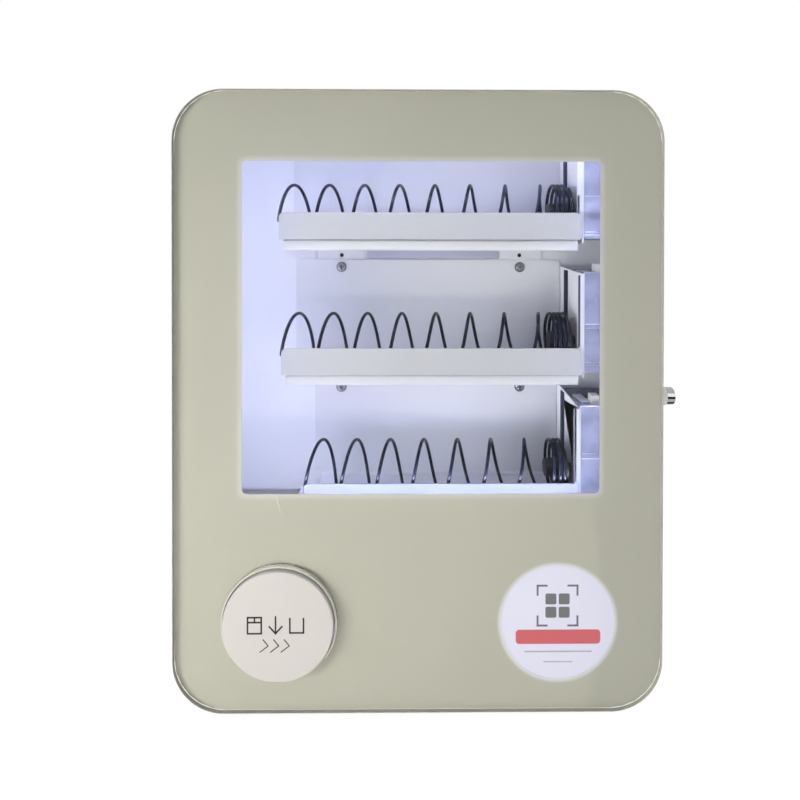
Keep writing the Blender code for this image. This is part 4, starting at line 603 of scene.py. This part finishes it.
SLOT_SHADE = moulded("slot_painted_shade", (0.004, 0.005, 0.022), 0.85, 700.0, 0.0001)
GALVANISED = galvanised_steel("galvanised")
BOARD = moulded("board_green", (0.025, 0.13, 0.06), 0.4)
LABEL_LIGHT = lit_plastic("label_face_light", (0.78, 0.77, 0.93), 0.60, 0.34)
LED_LIGHT = lit_plastic("led_light", (0.64, 0.67, 0.99), 196.0)
INK = moulded("dark_ink", (0.016, 0.015, 0.018), 0.5)
BANNER_INK = lit_plastic("banner_ink", (0.62, 0.115, 0.135), 0.35, 0.6)
LABEL_DARK = lit_plastic("label_dark_ink", (0.15, 0.15, 0.16), 0.4, 0.6)
LABEL_GREY = lit_plastic("label_grey_ink", (0.40, 0.39, 0.44), 0.4, 0.6)


# Front glass and what shows through it

def glass_parts():
    """Ring between the flap's hole and the glass's edge.

    Each ray from the hole's middle meets the circle and the rounded outline; the section between
    them runs along the front face, over the polished chamfer, down the edge and along the back.
    """
    arc_steps, kept_step = 400, 20
    arcs = round_rectangle(0, MIDDLE_HEIGHT, PANEL_WIDTH, PANEL_HEIGHT, PANEL_CORNER, arc_steps)
    arcs = arcs.reshape(4, arc_steps + 1, 2)
    walk = np.linspace(0, 1, 41)[1:-1, None]
    runs = []
    for i, arc in enumerate(arcs):
        start, stop = arc[-1], arcs[(i + 1) % 4, 0]
        runs += [arc[::kept_step], start + (stop - start) * walk]
    dense = np.concatenate(runs)
    centre = np.array([FLAP_X, FLAP_HEIGHT])
    order = np.argsort(np.arctan2(dense[:, 1] - centre[1], dense[:, 0] - centre[0]))
    dense = dense[order]
    keep = np.linalg.norm(dense - np.roll(dense, 1, axis=0), axis=1) > 1e-5
    dense = dense[keep]
    away = dense - centre
    reach = np.linalg.norm(away, axis=1, keepdims=True)
    hole = centre + away / reach * FLAP_HOLE
    soft = centre + away / reach * (FLAP_HOLE + HOLE_EDGE)
    polished = inset(dense, BEVEL_WIDTH)
    back_edge = inset(dense, BEVEL_DEPTH)
    section = [(hole, HOLE_EDGE), (soft, 0.0), (polished, 0.0), (dense, BEVEL_DEPTH),
               (dense, GLASS_THICK - BEVEL_DEPTH), (back_edge, GLASS_THICK), (soft, GLASS_THICK),
               (hole, GLASS_THICK - HOLE_EDGE)]
    rows = [place(flat[:, 0], depth, flat[:, 1]) for flat, depth in section]
    return grid(np.stack(rows), loop=True)


def widen_mask(mesh):
    """Move the ink's outer edge out to the glass's bevel, square to the rounded outline."""
    skin = np.empty(len(mesh.vertices) * 3)
    mesh.vertices.foreach_get("co", skin)
    skin = skin.reshape(-1, 3)
    core = np.array([PANEL_WIDTH / 2, PANEL_HEIGHT / 2]) - PANEL_CORNER
    past = np.abs(skin[:, [0, 2]]) - core
    out = np.maximum(past, 0)
    reach = np.linalg.norm(out, axis=1)
    outer = (reach > PANEL_CORNER - MASK_RIM) | (past.max(axis=1) > PANEL_CORNER - MASK_RIM)
    away = out * np.sign(skin[:, [0, 2]]) / np.maximum(reach, 1e-9)[:, None]
    skin[:, [0, 2]] += np.where(outer[:, None], away * MASK_REACH, 0)
    mesh.vertices.foreach_set("co", skin.ravel())
    mesh.update()


piece("front_glass", "door", GLASS, [glass_parts()], ("glass_panel",), 12)
widen_mask(refined("mask_film", MASK, 0.0).data)

# Ink just inside the glass's edge, which hides the glass's clear side wall
edge_ink = round_rectangle(0, MIDDLE_HEIGHT, PANEL_WIDTH, PANEL_HEIGHT, PANEL_CORNER, 24)
piece("edge_ink", "door", MASK,
      [carried(edge_ink, [(0.0001, 0.0010), (0.0001, 0.0049), (0.0004, 0.0049), (0.0004, 0.0010)])])


def flap_dish():
    """Round dish with a turned rim; points under the chord are raised to it, which leaves the flat."""
    inner_face, inner_radius = FLAP_FACE + FLAP_PLATE, FLAP_RADIUS - FLAP_WALL
    profile = [(FLAP_FACE, 0), (FLAP_FACE, 0.030), (FLAP_FACE, FLAP_RADIUS), (FLAP_REAR, FLAP_RADIUS),
               (FLAP_REAR, inner_radius), (inner_face, inner_radius), (inner_face, 0)]
    points, faces = lathe(profile, "depth", (FLAP_X, FLAP_HEIGHT), 192,
                          radii=(0, 0, 0.0014, 0.0003, 0.0003, 0.0006, 0), arc_steps=6)
    points[:, 2] = np.maximum(points[:, 2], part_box("flap_disc")[0][2])
    return points, faces


def flap_ears():
    """Two ears behind the dish: a plate that runs up from it and ends in a half circle round the pin."""
    parts = []
    half = np.linspace(math.pi / 2, -math.pi / 2, 17)
    root = FLAP_FACE + 0.0020
    outline = [(root, FLAP_AXIS_HEIGHT - 3 * FLAP_EAR), (root, FLAP_AXIS_HEIGHT - FLAP_EAR / 5),
               (FLAP_REAR, FLAP_AXIS_HEIGHT + FLAP_EAR / 3)]
    outline += list(zip(FLAP_AXIS_DEPTH + FLAP_EAR * np.cos(half),
                        FLAP_AXIS_HEIGHT + FLAP_EAR * np.sin(half)))
    for side in (-1, 1):
        middle = FLAP_X + side * FLAP_EAR_X
        parts.append(slab(np.array(outline), "x", middle - 0.002, middle + 0.002, 0.0003))
    return parts


piece("push_flap", "flap", FLAP_PLASTIC, [flap_dish(), *flap_ears()], ("flap_disc",))


def stroke(corners, width, closed=False):
    """Outline of a pen stroke of even width along a path of corners, for a flat print."""
    corners = np.asarray(corners, float)
    parts = []
    count = len(corners)
    for i in range(count if closed else count - 1):
        start, stop = corners[i], corners[(i + 1) % count]
        along = (stop - start) / np.linalg.norm(stop - start)
        side = np.array([-along[1], along[0]]) * width / 2
        tail = along * width / 2
        start, stop = start - tail, stop + tail
        parts.append(np.array([start - side, stop - side, stop + side, start + side]))
    return parts


def print_parts(outlines, depth, thick=0.00012):
    """Thin flat prints on a face at one depth, a hair proud of it."""
    return [slab(outline, "depth", depth - thick, depth + 0.00002, 0.00002, 1) for outline in outlines]


def flap_print():
    """Generic pictogram: a pack, an arrow down and a tray, over three slanted chevrons."""
    x, z = FLAP_X - 0.0005, FLAP_HEIGHT
    pen = 0.0013
    shapes = []
    shapes += stroke([(x - 0.0235, z + 0.0085), (x - 0.0125, z + 0.0085), (x - 0.0125, z - 0.0045),
                      (x - 0.0235, z - 0.0045)], pen, True)
    shapes += stroke([(x - 0.0235, z + 0.0045), (x - 0.0125, z + 0.0045)], pen)
    shapes += stroke([(x - 0.0180, z + 0.0085), (x - 0.0180, z + 0.0045)], pen)
    shapes += stroke([(x - 0.0010, z + 0.0090), (x - 0.0010, z - 0.0040)], pen)
    shapes += stroke([(x - 0.0060, z + 0.0010), (x - 0.0010, z - 0.0045), (x + 0.0040, z + 0.0010)], pen)
    shapes += stroke([(x + 0.0105, z + 0.0075), (x + 0.0105, z - 0.0040), (x + 0.0215, z - 0.0040),
                      (x + 0.0215, z + 0.0075)], pen)
    for k in range(3):
        left = x - 0.0125 + k * 0.0085
        chevron = [(left + 0.0015, z - 0.0095), (left + 0.0055, z - 0.0145), (left - 0.0010, z - 0.0195)]
        shapes += stroke(chevron, pen * 0.6)
    return print_parts(shapes, FLAP_FACE)


piece("flap_pictogram", "flap", INK, flap_print())

refined("flap_frame", WHITE_PLASTIC, 0.0002)


def flap_lip():
    """Soft lip round the upper part of the flap's hole: its rounded section carried along an arc."""
    turn = np.linspace(math.radians(-35), math.radians(215), 121)[:, None]
    inner, outer, front, rear = 0.0459, 0.0474, 0.0002, 0.0030
    section = rounded([(inner, front), (outer, front), (outer, rear), (inner, rear)], 0.0002, 3)
    reach, depth = section[None, :, 0], section[None, :, 1]
    return grid(place(FLAP_X + reach * np.cos(turn), depth + 0 * turn, FLAP_HEIGHT + reach * np.sin(turn)))


piece("flap_lip", "door", LIP_PLASTIC, [flap_lip()])
refined("flap_pin", BARE_STEEL, 0.0001)

# Label: a milky disc lit from behind, with a bare banner, a generic scanning sign and two thin bars
LABEL_PRINT = 0.0001
label_reach = LABEL_RADIUS + LABEL_RIM
piece("label_face", "door", LABEL_LIGHT,
      [lathe([(PAN_FRONT, 0), (PAN_FRONT, label_reach), (LABEL_BACK, label_reach), (LABEL_BACK, 0)],
             "depth", (LABEL_X, LABEL_HEIGHT), 160, radii=(0, 0.0002, 0.0002, 0))], ("label_disc",))
piece("label_banner", "door", BANNER_INK,
      print_parts([round_rectangle(LABEL_X + 0.0005, LABEL_HEIGHT - 0.0123, 0.0700, 0.0118, 0.0030, 6)],
                  PAN_FRONT, LABEL_PRINT))
SIGN_RISE = 0.0135
SIGN_HALF = 0.0165
SIGN_ARM = 0.0075
SIGN_PEN = 0.0016
SIGN_SQUARE = 0.0090
SIGN_SQUARE_OUT = 0.0055
SIGN_SQUARE_CORNER = 0.0012


def scan_sign():
    """Generic scanning sign: four corner brackets round a block of four plain squares."""
    x, z, half, arm = LABEL_X, LABEL_HEIGHT + SIGN_RISE, SIGN_HALF, SIGN_ARM
    shapes = []
    for u in (-1, 1):
        for v in (-1, 1):
            shapes += stroke([(x + u * (half - arm), z + v * half), (x + u * half, z + v * half),
                              (x + u * half, z + v * (half - arm))], SIGN_PEN)
            shapes.append(round_rectangle(x + u * SIGN_SQUARE_OUT, z + v * SIGN_SQUARE_OUT, SIGN_SQUARE,
                                          SIGN_SQUARE, SIGN_SQUARE_CORNER, 3))
    return print_parts(shapes, PAN_FRONT, LABEL_PRINT)


piece("label_scan_sign", "door", LABEL_DARK, scan_sign())
bars = [round_rectangle(LABEL_X + 0.0005, LABEL_HEIGHT - 0.0245, 0.0560, 0.0011, 0.0005, 3),
        round_rectangle(LABEL_X + 0.0005, LABEL_HEIGHT - 0.0330, 0.0240, 0.0009, 0.0004, 3)]
piece("label_bars", "door", LABEL_GREY, print_parts(bars, PAN_FRONT, LABEL_PRINT))
refined("label_holder", WHITE_PLASTIC, 0.0002)
refined("label_light", WHITE_PLASTIC, 0.0001)

# Light strips behind the pan, all round the window
refined("led_frame", WHITE_PLASTIC, 0.0001)
LED_ROWS = ((34, "x", -1), (24, "x", 1), (32, "height", -1), (11, "height", 1))
LED_FROM_WINDOW = 0.0105
LED_FROM_CORNER = 0.012
LED_CHIP = 0.0050
LED_TALL = 0.0005


def led_parts():
    """Small domed chips in a row along each side of the light board: bottom, top, left and right."""
    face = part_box("led_frame")[1][1] + DEPTH
    half_w, half_h = WINDOW_WIDTH / 2 + LED_FROM_WINDOW, WINDOW_HEIGHT / 2 + LED_FROM_WINDOW
    chips = []
    for count, along, side in LED_ROWS:
        for share in np.linspace(-1, 1, count):
            if along == "x":
                x, height = WINDOW_X + share * (half_w - LED_FROM_CORNER), WINDOW_CENTRE + side * half_h
            else:
                x, height = WINDOW_X + side * half_w, WINDOW_CENTRE + share * (half_h - LED_FROM_CORNER)
            outline = round_rectangle(x, height, LED_CHIP, LED_CHIP, 0.0006, 2)
            chips.append(slab(outline, "depth", face, face + LED_TALL, 0.0002, 1))
    return chips


piece("led_chips", "door", LED_LIGHT, led_parts())

# Door, cabinet and what they hold: node, slot, finish and width of the softened edges
for name, slot, material, edge in (
        ("door_pan", "white_steel", WHITE_STEEL, 0.0),
        ("door_gasket", "rubber", RUBBER, 0.0002),
        ("strike_bracket", "bare_steel", BARE_STEEL, 0.0002),
        ("hinge_leaf_door", "bare_steel", HINGE_STEEL, 0.0),
        ("hinge_leaf_cabinet", "bare_steel", HINGE_STEEL, 0.0),
        ("hinge_pin", "bare_steel", HINGE_STEEL, 0.0002),
        ("cabinet_shell", "white_steel", CABINET_PAINT, 0.0003),
        ("back_panel", "white_steel", CABINET_PAINT, 0.0),
        ("inner_panel", "white_steel", WHITE_STEEL, 0.0),
        ("deck", "white_steel", WHITE_STEEL, 0.0002),
        ("pickup_bin", "white_steel", WHITE_STEEL, 0.0003),
        ("wire_clip", "grey_plastic", GREY_PLASTIC, 0.0004),
        ("power_supply", "black_plastic", BLACK_PLASTIC, 0.0),
        ("control_board", "board_green", BOARD, 0.0001),
        ("dc_inlet", "black_plastic", BLACK_PLASTIC, 0.0002),
        ("lock_nut", "bare_steel", BARE_STEEL, 0.0003),
        ("lock_cam", "bare_steel", BARE_STEEL, 0.0002),
        ("lock_plug", "chrome", CHROME, 0.0002)):
    refined(name, material, edge)

# Lock barrel and feet
piece("lock_barrel", "cabinet", PAINTED_REFLECTION_CHROME,
      [lathe([(LOCK_TAIL, LOCK_BORE), (LOCK_TAIL, 0.0060), (LOCK_SEAT, 0.0060), (LOCK_SEAT, 0.0080),
              (LOCK_COLLAR_END, 0.0080), (LOCK_COLLAR_END + 0.0006, LOCK_HEAD), (LOCK_END, LOCK_HEAD),
              (LOCK_END, LOCK_BORE)], "x", (LOCK_DEPTH, MIDDLE_HEIGHT), 96,
             radii=(0, 0.0003, 0, 0.0004, 0.0012, 0.0003, 0.0008, 0.0002), closed=True)], ("lock_body",))
for end in ("front", "rear"):
    for side in ("left", "right"):
        node = "rubber_foot_" + end + "_" + side
        low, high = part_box(node)
        centre = ((low[0] + high[0]) / 2, (low[1] + high[1]) / 2 + DEPTH)
        base, top = low[2] + MIDDLE_HEIGHT, high[2] + MIDDLE_HEIGHT
        radius = (high[0] - low[0]) / 2
        piece("foot_" + end + "_" + side, "cabinet", RUBBER,
              [lathe([(base, 0), (base, radius - 0.0006), (top - 0.0012, radius), (top, radius), (top, 0)],
                     "height", centre, 64, radii=(0, 0.0012, 0.0004, 0.0003, 0))], (node,))


# Trays and what they carry

def spiral_path(axis, first_peak, last_peak, coils, motor_x, per_turn=48):
    """Helix: cosine and sine of the turn at even pitch, closing up to tight turns at the hub."""
    pitch = (last_peak - first_peak) / coils
    end_x = motor_x - WIRE_END_GAP
    blend = (pitch + TIGHT_PITCH) / 2 * BLEND_TURNS
    last_turn = coils + BLEND_TURNS + (end_x - last_peak - blend) / TIGHT_PITCH
    turn = np.linspace(-LEAD_IN_TURNS, last_turn, round((last_turn + LEAD_IN_TURNS) * per_turn))
    past = turn - coils
    wide = first_peak + pitch * turn
    closing = last_peak + pitch * past - (pitch - TIGHT_PITCH) * past ** 2 / BLEND_TURNS / 2
    tight = last_peak + blend + TIGHT_PITCH * (past - BLEND_TURNS)
    x = np.where(past <= 0, wide, np.where(past < BLEND_TURNS, closing, tight))
    angle = 2 * math.pi * turn
    return place(x, SPIRAL_DEPTH + SPIRAL_RADIUS * np.sin(angle), axis + SPIRAL_RADIUS * np.cos(angle))


def screw_head(x, height):
    """Pan head: a dome that falls with the fourth power of the radius, less a smooth cross recess."""
    reach = np.linspace(0, 1, 33)[:, None]
    angle = np.linspace(0, 2 * math.pi, 96, endpoint=False)[None]
    u, v = reach * np.cos(angle), reach * np.sin(angle)
    across, along = np.minimum(np.abs(u), np.abs(v)), np.maximum(np.abs(u), np.abs(v))
    arm = np.clip((0.12 - across) / 0.06, 0, 1) * np.clip((0.62 - along) / 0.12, 0, 1)
    dome = SCREW_TALL * (1 - 0.75 * reach ** 4) - SCREW_TALL * 0.55 * arm
    top = place(x + u * SCREW_RADIUS, SCREW_SEAT - dome, height + v * SCREW_RADIUS)
    rim = place(x + u[-1:] * SCREW_RADIUS, SCREW_SEAT, height + v[-1:] * SCREW_RADIUS)
    return grid(np.concatenate([top, rim]))


def tray_screw(node, label):
    """Screw in place of a CAD screw: its head and shank, with a dark cross painted as shade in its recess and
    a dark ring painted as its contact shadow on the plate.
    """
    low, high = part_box(node)
    x, height = (low[0] + high[0]) / 2, (low[2] + high[2]) / 2 + MIDDLE_HEIGHT
    start, stop, reach = TRAY_BACK - 0.0004, TRAY_BACK + 0.0087, 0.0018
    shank = lathe([(start, 0), (start, reach), (stop, reach), (stop, 0)], "depth", (x, height), 32, 0.0)
    piece("pan_screw_" + label, "cabinet", SCREW_STEEL, [screw_head(x, height), shank],
          (node,), 50)
    # Painted shade: a dark cross in the recess and a dark ring round the head
    cross = stroke([(x - 0.0021, height), (x + 0.0021, height)], 0.0009)
    cross += stroke([(x, height - 0.0021), (x, height + 0.0021)], 0.0009)
    front, rear = TRAY_BACK - 0.0005, TRAY_BACK - 0.0001
    ring = lathe([(front, 0.0047), (front, 0.0051), (rear, 0.0051), (rear, 0.0047)], "depth", (x, height), 48,
                 0.0, closed=True)
    piece("screw_recess_" + label, "cabinet", SCREW_SHADE,
          print_parts(cross, SCREW_SEAT - 0.45 * SCREW_TALL, 0.0001) + [ring])


for tier in TIER_NAMES:
    piece("wire_spiral_" + tier, tier + "_spiral", BLACK_WIRE,
          [tube(spiral_path(*TIERS[tier]), WIRE_RADIUS)], ("spiral_" + tier,), 60)
    refined("drive_hub_" + tier, HUB_PLASTIC, 0.0002)
    # Painted shade: trays and guards take the darker copies of the white steel paint
    refined("tray_" + tier, TRAY_SHADED_PAINT, 0.0002)
    refined("guard_" + tier, BOTTOM_GUARD_SHADED_PAINT if tier == "bottom" else GUARD_SHADED_PAINT, 0.0003)
    refined("motor_plate_" + tier, WHITE_STEEL, 0.0003)
    refined("motor_can_" + tier, GALVANISED, 0.0004)
    refined("gear_motor_" + tier, CREAM_PLASTIC, 0.0004)
    for side in ("left", "right"):
        tray_screw("tray_screw_" + tier + "_" + side, tier + "_" + side)


def flap_spring_path():
    """Leg on the flap's back, then turns round the pin, then an arm up to the collar."""
    start_x = FLAP_X - SPRING_PITCH * SPRING_TURNS / 2
    low = FLAP_AXIS_HEIGHT - SPRING_COIL
    leg_end = FLAP_FACE + FLAP_PLATE + 0.0003 + SPRING_WIRE
    turn = np.linspace(0, SPRING_TURNS, round(SPRING_TURNS * 40))
    leg = place(start_x, np.linspace(leg_end, FLAP_AXIS_DEPTH - 0.0004, 12), low)
    coil = place(start_x + SPRING_PITCH * turn, FLAP_AXIS_DEPTH + SPRING_COIL * np.sin(2 * math.pi * turn),
                 FLAP_AXIS_HEIGHT - SPRING_COIL * np.cos(2 * math.pi * turn))
    arm = coil[-1] + np.linspace(0.0003, 0.0080, 12)[:, None] * np.array([0, 0, 1.0])
    return np.concatenate([leg, coil, arm])


piece("torsion_spring", frame["nodes"]["flap_spring"]["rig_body"], BARE_STEEL,
      [tube(flap_spring_path(), SPRING_WIRE, (1, 0, 0), 12)], ("flap_spring",), 60)

# Black strips in the slots of the motor plates, painted shade for the dark seen through them, and near-black
# blind nuts behind the spare holes, painted shade in the holes
for tier in TIER_NAMES:
    axis, motor_x = TIERS[tier][0], TIERS[tier][4]
    (front, low), (rear, high) = (0.0800, axis - 0.0180), (0.0915, axis + 0.0635)
    strip = rounded([(front, low), (rear, low), (rear, high), (front, high)], 0.0006, 3)
    piece("slot_strip_" + tier, "cabinet", SLOT_SHADE,
          [slab(strip, "x", motor_x - 0.0009, motor_x - 0.0002, 0.0002, 2)])
NUT_FRONT, NUT_REAR, NUT_RADIUS, NUT_HEIGHT = 0.1113, 0.1175, 0.0031, 0.3726
# Painted shade: the nuts are near black, standing in for the dark seen through the spare holes
for side, x in (("left", -0.0773), ("right", 0.1030)):
    piece("blind_nut_" + side, "cabinet", HOLE_SHADE,
          [lathe([(NUT_FRONT, 0), (NUT_FRONT, NUT_RADIUS), (NUT_REAR, NUT_RADIUS), (NUT_REAR, 0)],
                 "depth", (x, NUT_HEIGHT), 40, 0.0003)])

# Cover strip in the cable slot behind the top tray; its dark bluish paint is painted shade standing in for
# the shade in the slot
strip = round_rectangle(0.01505, 0.3751, 0.1335, 0.0116, 0.0004, 3)
piece("duct_strip", "cabinet", DUCT_SHADE_PAINT,
      [slab(strip, "depth", TRAY_BACK + 0.0002, TRAY_BACK + 0.0009)])

# Ridges and folded edges of the motor cans, painted bright as highlights, their inserts, and dark lines
# beside them painted as the shadow gap between plate and can
CAN_RIDGES = {"top": (0.0125, -0.0190, -0.0216), "middle": (0.0174, 0.0140, -0.0161, -0.0189),
              "bottom": (0.0209, 0.0165)}
SHADOW_GAP_SPANS = {"top": (-0.0030, 0.0128), "middle": (-0.0020, 0.0610), "bottom": (-0.0020, 0.0630)}
for tier in TIER_NAMES:
    axis = TIERS[tier][0]
    low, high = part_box("motor_can_" + tier)
    front, left, right = low[1] + DEPTH, low[0], high[0]
    top = high[2] + MIDDLE_HEIGHT
    middle, centre = (left + right) / 2, (low[2] + high[2]) / 2 + MIDDLE_HEIGHT
    # Painted highlight: the raised ridges and folded edges are real, and their bright zinc tone stands in for
    # the light they catch
    spots = [(middle, axis + rise, right - left - 0.004, 0.0009) for rise in CAN_RIDGES[tier]]
    spots += [(left + 0.0007, centre, 0.0010, high[2] - low[2] - 0.001),
              (middle, top - 0.0006, right - left - 0.001, 0.0010)]
    ridges = [slab(round_rectangle(*spot, 0.0004, 3), "depth", front - 0.0004, front + 0.0002, 0.0001, 1)
              for spot in spots]
    piece("can_ridges_" + tier, "cabinet", ZINC_HIGHLIGHT, ridges)
    insert = round_rectangle(left + 0.0085, 0.0620, 0.0085, 0.0280, 0.0008, 3)
    piece("motor_insert_" + tier, "cabinet", PALE_INSERT,
          [slab(insert, "height", top - 0.0030, top + 0.0002, 0.0003, 2)])
    # Painted shadow: a dark line on the motor plate's front edge stands in for the shadow gap between plate
    # and can
    low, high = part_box("motor_plate_" + tier)
    start, stop = SHADOW_GAP_SPANS[tier]
    shadow_gap = round_rectangle(low[0] + 0.0011, axis + (start + stop) / 2, 0.0017, stop - start, 0.0004, 3)
    piece("foam_line_" + tier, "cabinet", SLOT_SHADE,
          [slab(shadow_gap, "depth", low[1] + DEPTH - 0.0003, low[1] + DEPTH + 0.0002, 0.0001, 1)])

# Floor, light and camera
FLOOR_WHITE = 0.90
FLOOR_GLOW = 1.075


def seen_directly(tree):
    """1 for what the eye sees straight, in a mirror or through glass, 0 for light that has been scattered."""
    rays = Signal(tree, None).node("ShaderNodeLightPath").socket.node.outputs
    eye, mirror, glazed, scattered = (Signal(tree, rays[name]) for name in (
        "Is Camera Ray", "Is Glossy Ray", "Is Transmission Ray", "Diffuse Depth"))
    return eye.at_least(mirror).at_least(glazed) * (1 - scattered.at_most(1.0))


floor_z = CAD_BOX[0][2]
floor_mesh = bpy.data.meshes.new("floor")
floor_corners = [(-6, -6, floor_z), (6, -6, floor_z), (6, 6, floor_z), (-6, 6, floor_z)]
floor_mesh.from_pydata(floor_corners, [], [(0, 1, 2, 3)])
floor = bpy.data.objects.new("floor", floor_mesh)
bpy.context.scene.collection.objects.link(floor)
ground = Finish("floor_paper", (0.86, 0.86, 0.86), 0.9)
glow = ground.tree.nodes.new("ShaderNodeEmission")
glow.inputs[1].default_value = FLOOR_GLOW
blend = ground.tree.nodes.new("ShaderNodeMixShader")
share = seen_directly(ground.tree) * FLOOR_WHITE
ground.tree.links.new(share.socket, blend.inputs[0])
ground.tree.links.new(ground.shader.outputs[0], blend.inputs[1])
ground.tree.links.new(glow.outputs[0], blend.inputs[2])
ground.tree.links.new(blend.outputs[0], ground.output.inputs[0])
floor_mesh.materials.append(ground.material)

WORLD_LEVEL = 0.31
world = bpy.data.worlds.new("studio")
bpy.context.scene.world = world
world.use_nodes = True
sky = world.node_tree
backdrop = sky.nodes["Background"]
backdrop.inputs[0].default_value = (1.0, 1.0, 1.0, 1.0)
seen = seen_directly(sky)
strength = seen * (1 - WORLD_LEVEL) + WORLD_LEVEL
sky.links.new(strength.socket, backdrop.inputs[1])


def lamp(name, where, aim, power, width, tall, colour=(1.0, 1.0, 1.0), through=False, mirrored=False):
    """Soft rectangular lamp that faces a point.

    Where asked, its light also passes through the glass, or it is mirrored in glossy pieces too.
    """
    data = bpy.data.lights.new(name, "AREA")
    data.shape = "RECTANGLE"
    data.size = width
    data.size_y = tall
    data.energy = power
    data.color = colour
    item = bpy.data.objects.new(name, data)
    item.location = where
    direction = np.asarray(aim, float) - np.asarray(where, float)
    yaw = math.atan2(direction[1], direction[0]) - math.pi / 2
    pitch = math.atan2(direction[2], math.hypot(direction[0], direction[1])) + math.pi / 2
    item.rotation_euler = (pitch, 0, yaw)
    item.visible_camera = item.visible_glossy = mirrored
    item.visible_transmission = through or mirrored
    bpy.context.scene.collection.objects.link(item)


lamp("key_low_left", (-1.05, -0.75, -0.05), (0, -0.13, -0.12), 5.7, 0.5, 0.3, (1.0, 0.97, 0.92), True)
lamp("table_bounce", (-0.08, -0.62, -0.235), (0, -0.13, -0.24), 1.75, 0.9, 0.04, (1.0, 0.92, 0.82))
lamp("room_lamp", (0.30, -0.98, 0.20), (0, 0, 0.05), 0.62, 0.045, 0.045)
lamp("back_soft", (-0.8, 1.7, 0.7), (0, 0, 0), 12.0, 1.2, 1.2)
lamp("right_soft", (1.7, 0.35, 0.4), (0, -0.05, 0), 9.0, 1.0, 1.0)
lamp("top_soft", (0.1, -0.25, 1.8), (0, -0.15, 0.2), 9.0, 1.2, 0.5)
lamp("ceiling_soft", (0.1, -0.9, 1.1), (0, -0.13, -0.1), 1.1, 1.2, 0.6, (1.0, 0.99, 0.97), True, True)
lamp("bay_fill", (0.0, -0.1195, 0.05), (0.0, 0.0, 0.03), 0.035, 0.28, 0.26, (0.90, 0.91, 1.0))
lamp("corner_fill", (-0.112, -0.117, -0.080), (-0.19, -0.078, -0.100), 0.026, 0.08, 0.03, (0.90, 0.91, 1.0))
for tier in TIER_NAMES:
    guard_low, guard_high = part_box("guard_" + tier)
    rise = guard_high[2] - 0.004
    lamp("tray_lamp_" + tier, (-0.018, guard_high[1] + 0.002, rise), (-0.018, 0.0, rise + 0.004), 0.028,
         0.205, 0.018, (0.84, 0.87, 1.0))

camera_data = bpy.data.cameras.new("camera")
camera = bpy.data.objects.new("camera", camera_data)
bpy.context.scene.collection.objects.link(camera)
camera_data.lens = 24.09
camera_data.sensor_width = 36
camera_data.shift_x = -0.0249
camera_data.shift_y = -0.1832
camera_data.clip_start = 0.01
camera.location = (-0.0028, -0.5639, 0.1239)
camera.rotation_euler = (math.radians(89.624), math.radians(-0.086), math.radians(-0.492))
bpy.context.scene.camera = camera
bpy.context.scene.view_settings.view_transform = "Standard"


def plain(bounds):
    """A box as plain lists of numbers."""
    return [[float(value) for value in corner] for corner in bounds]
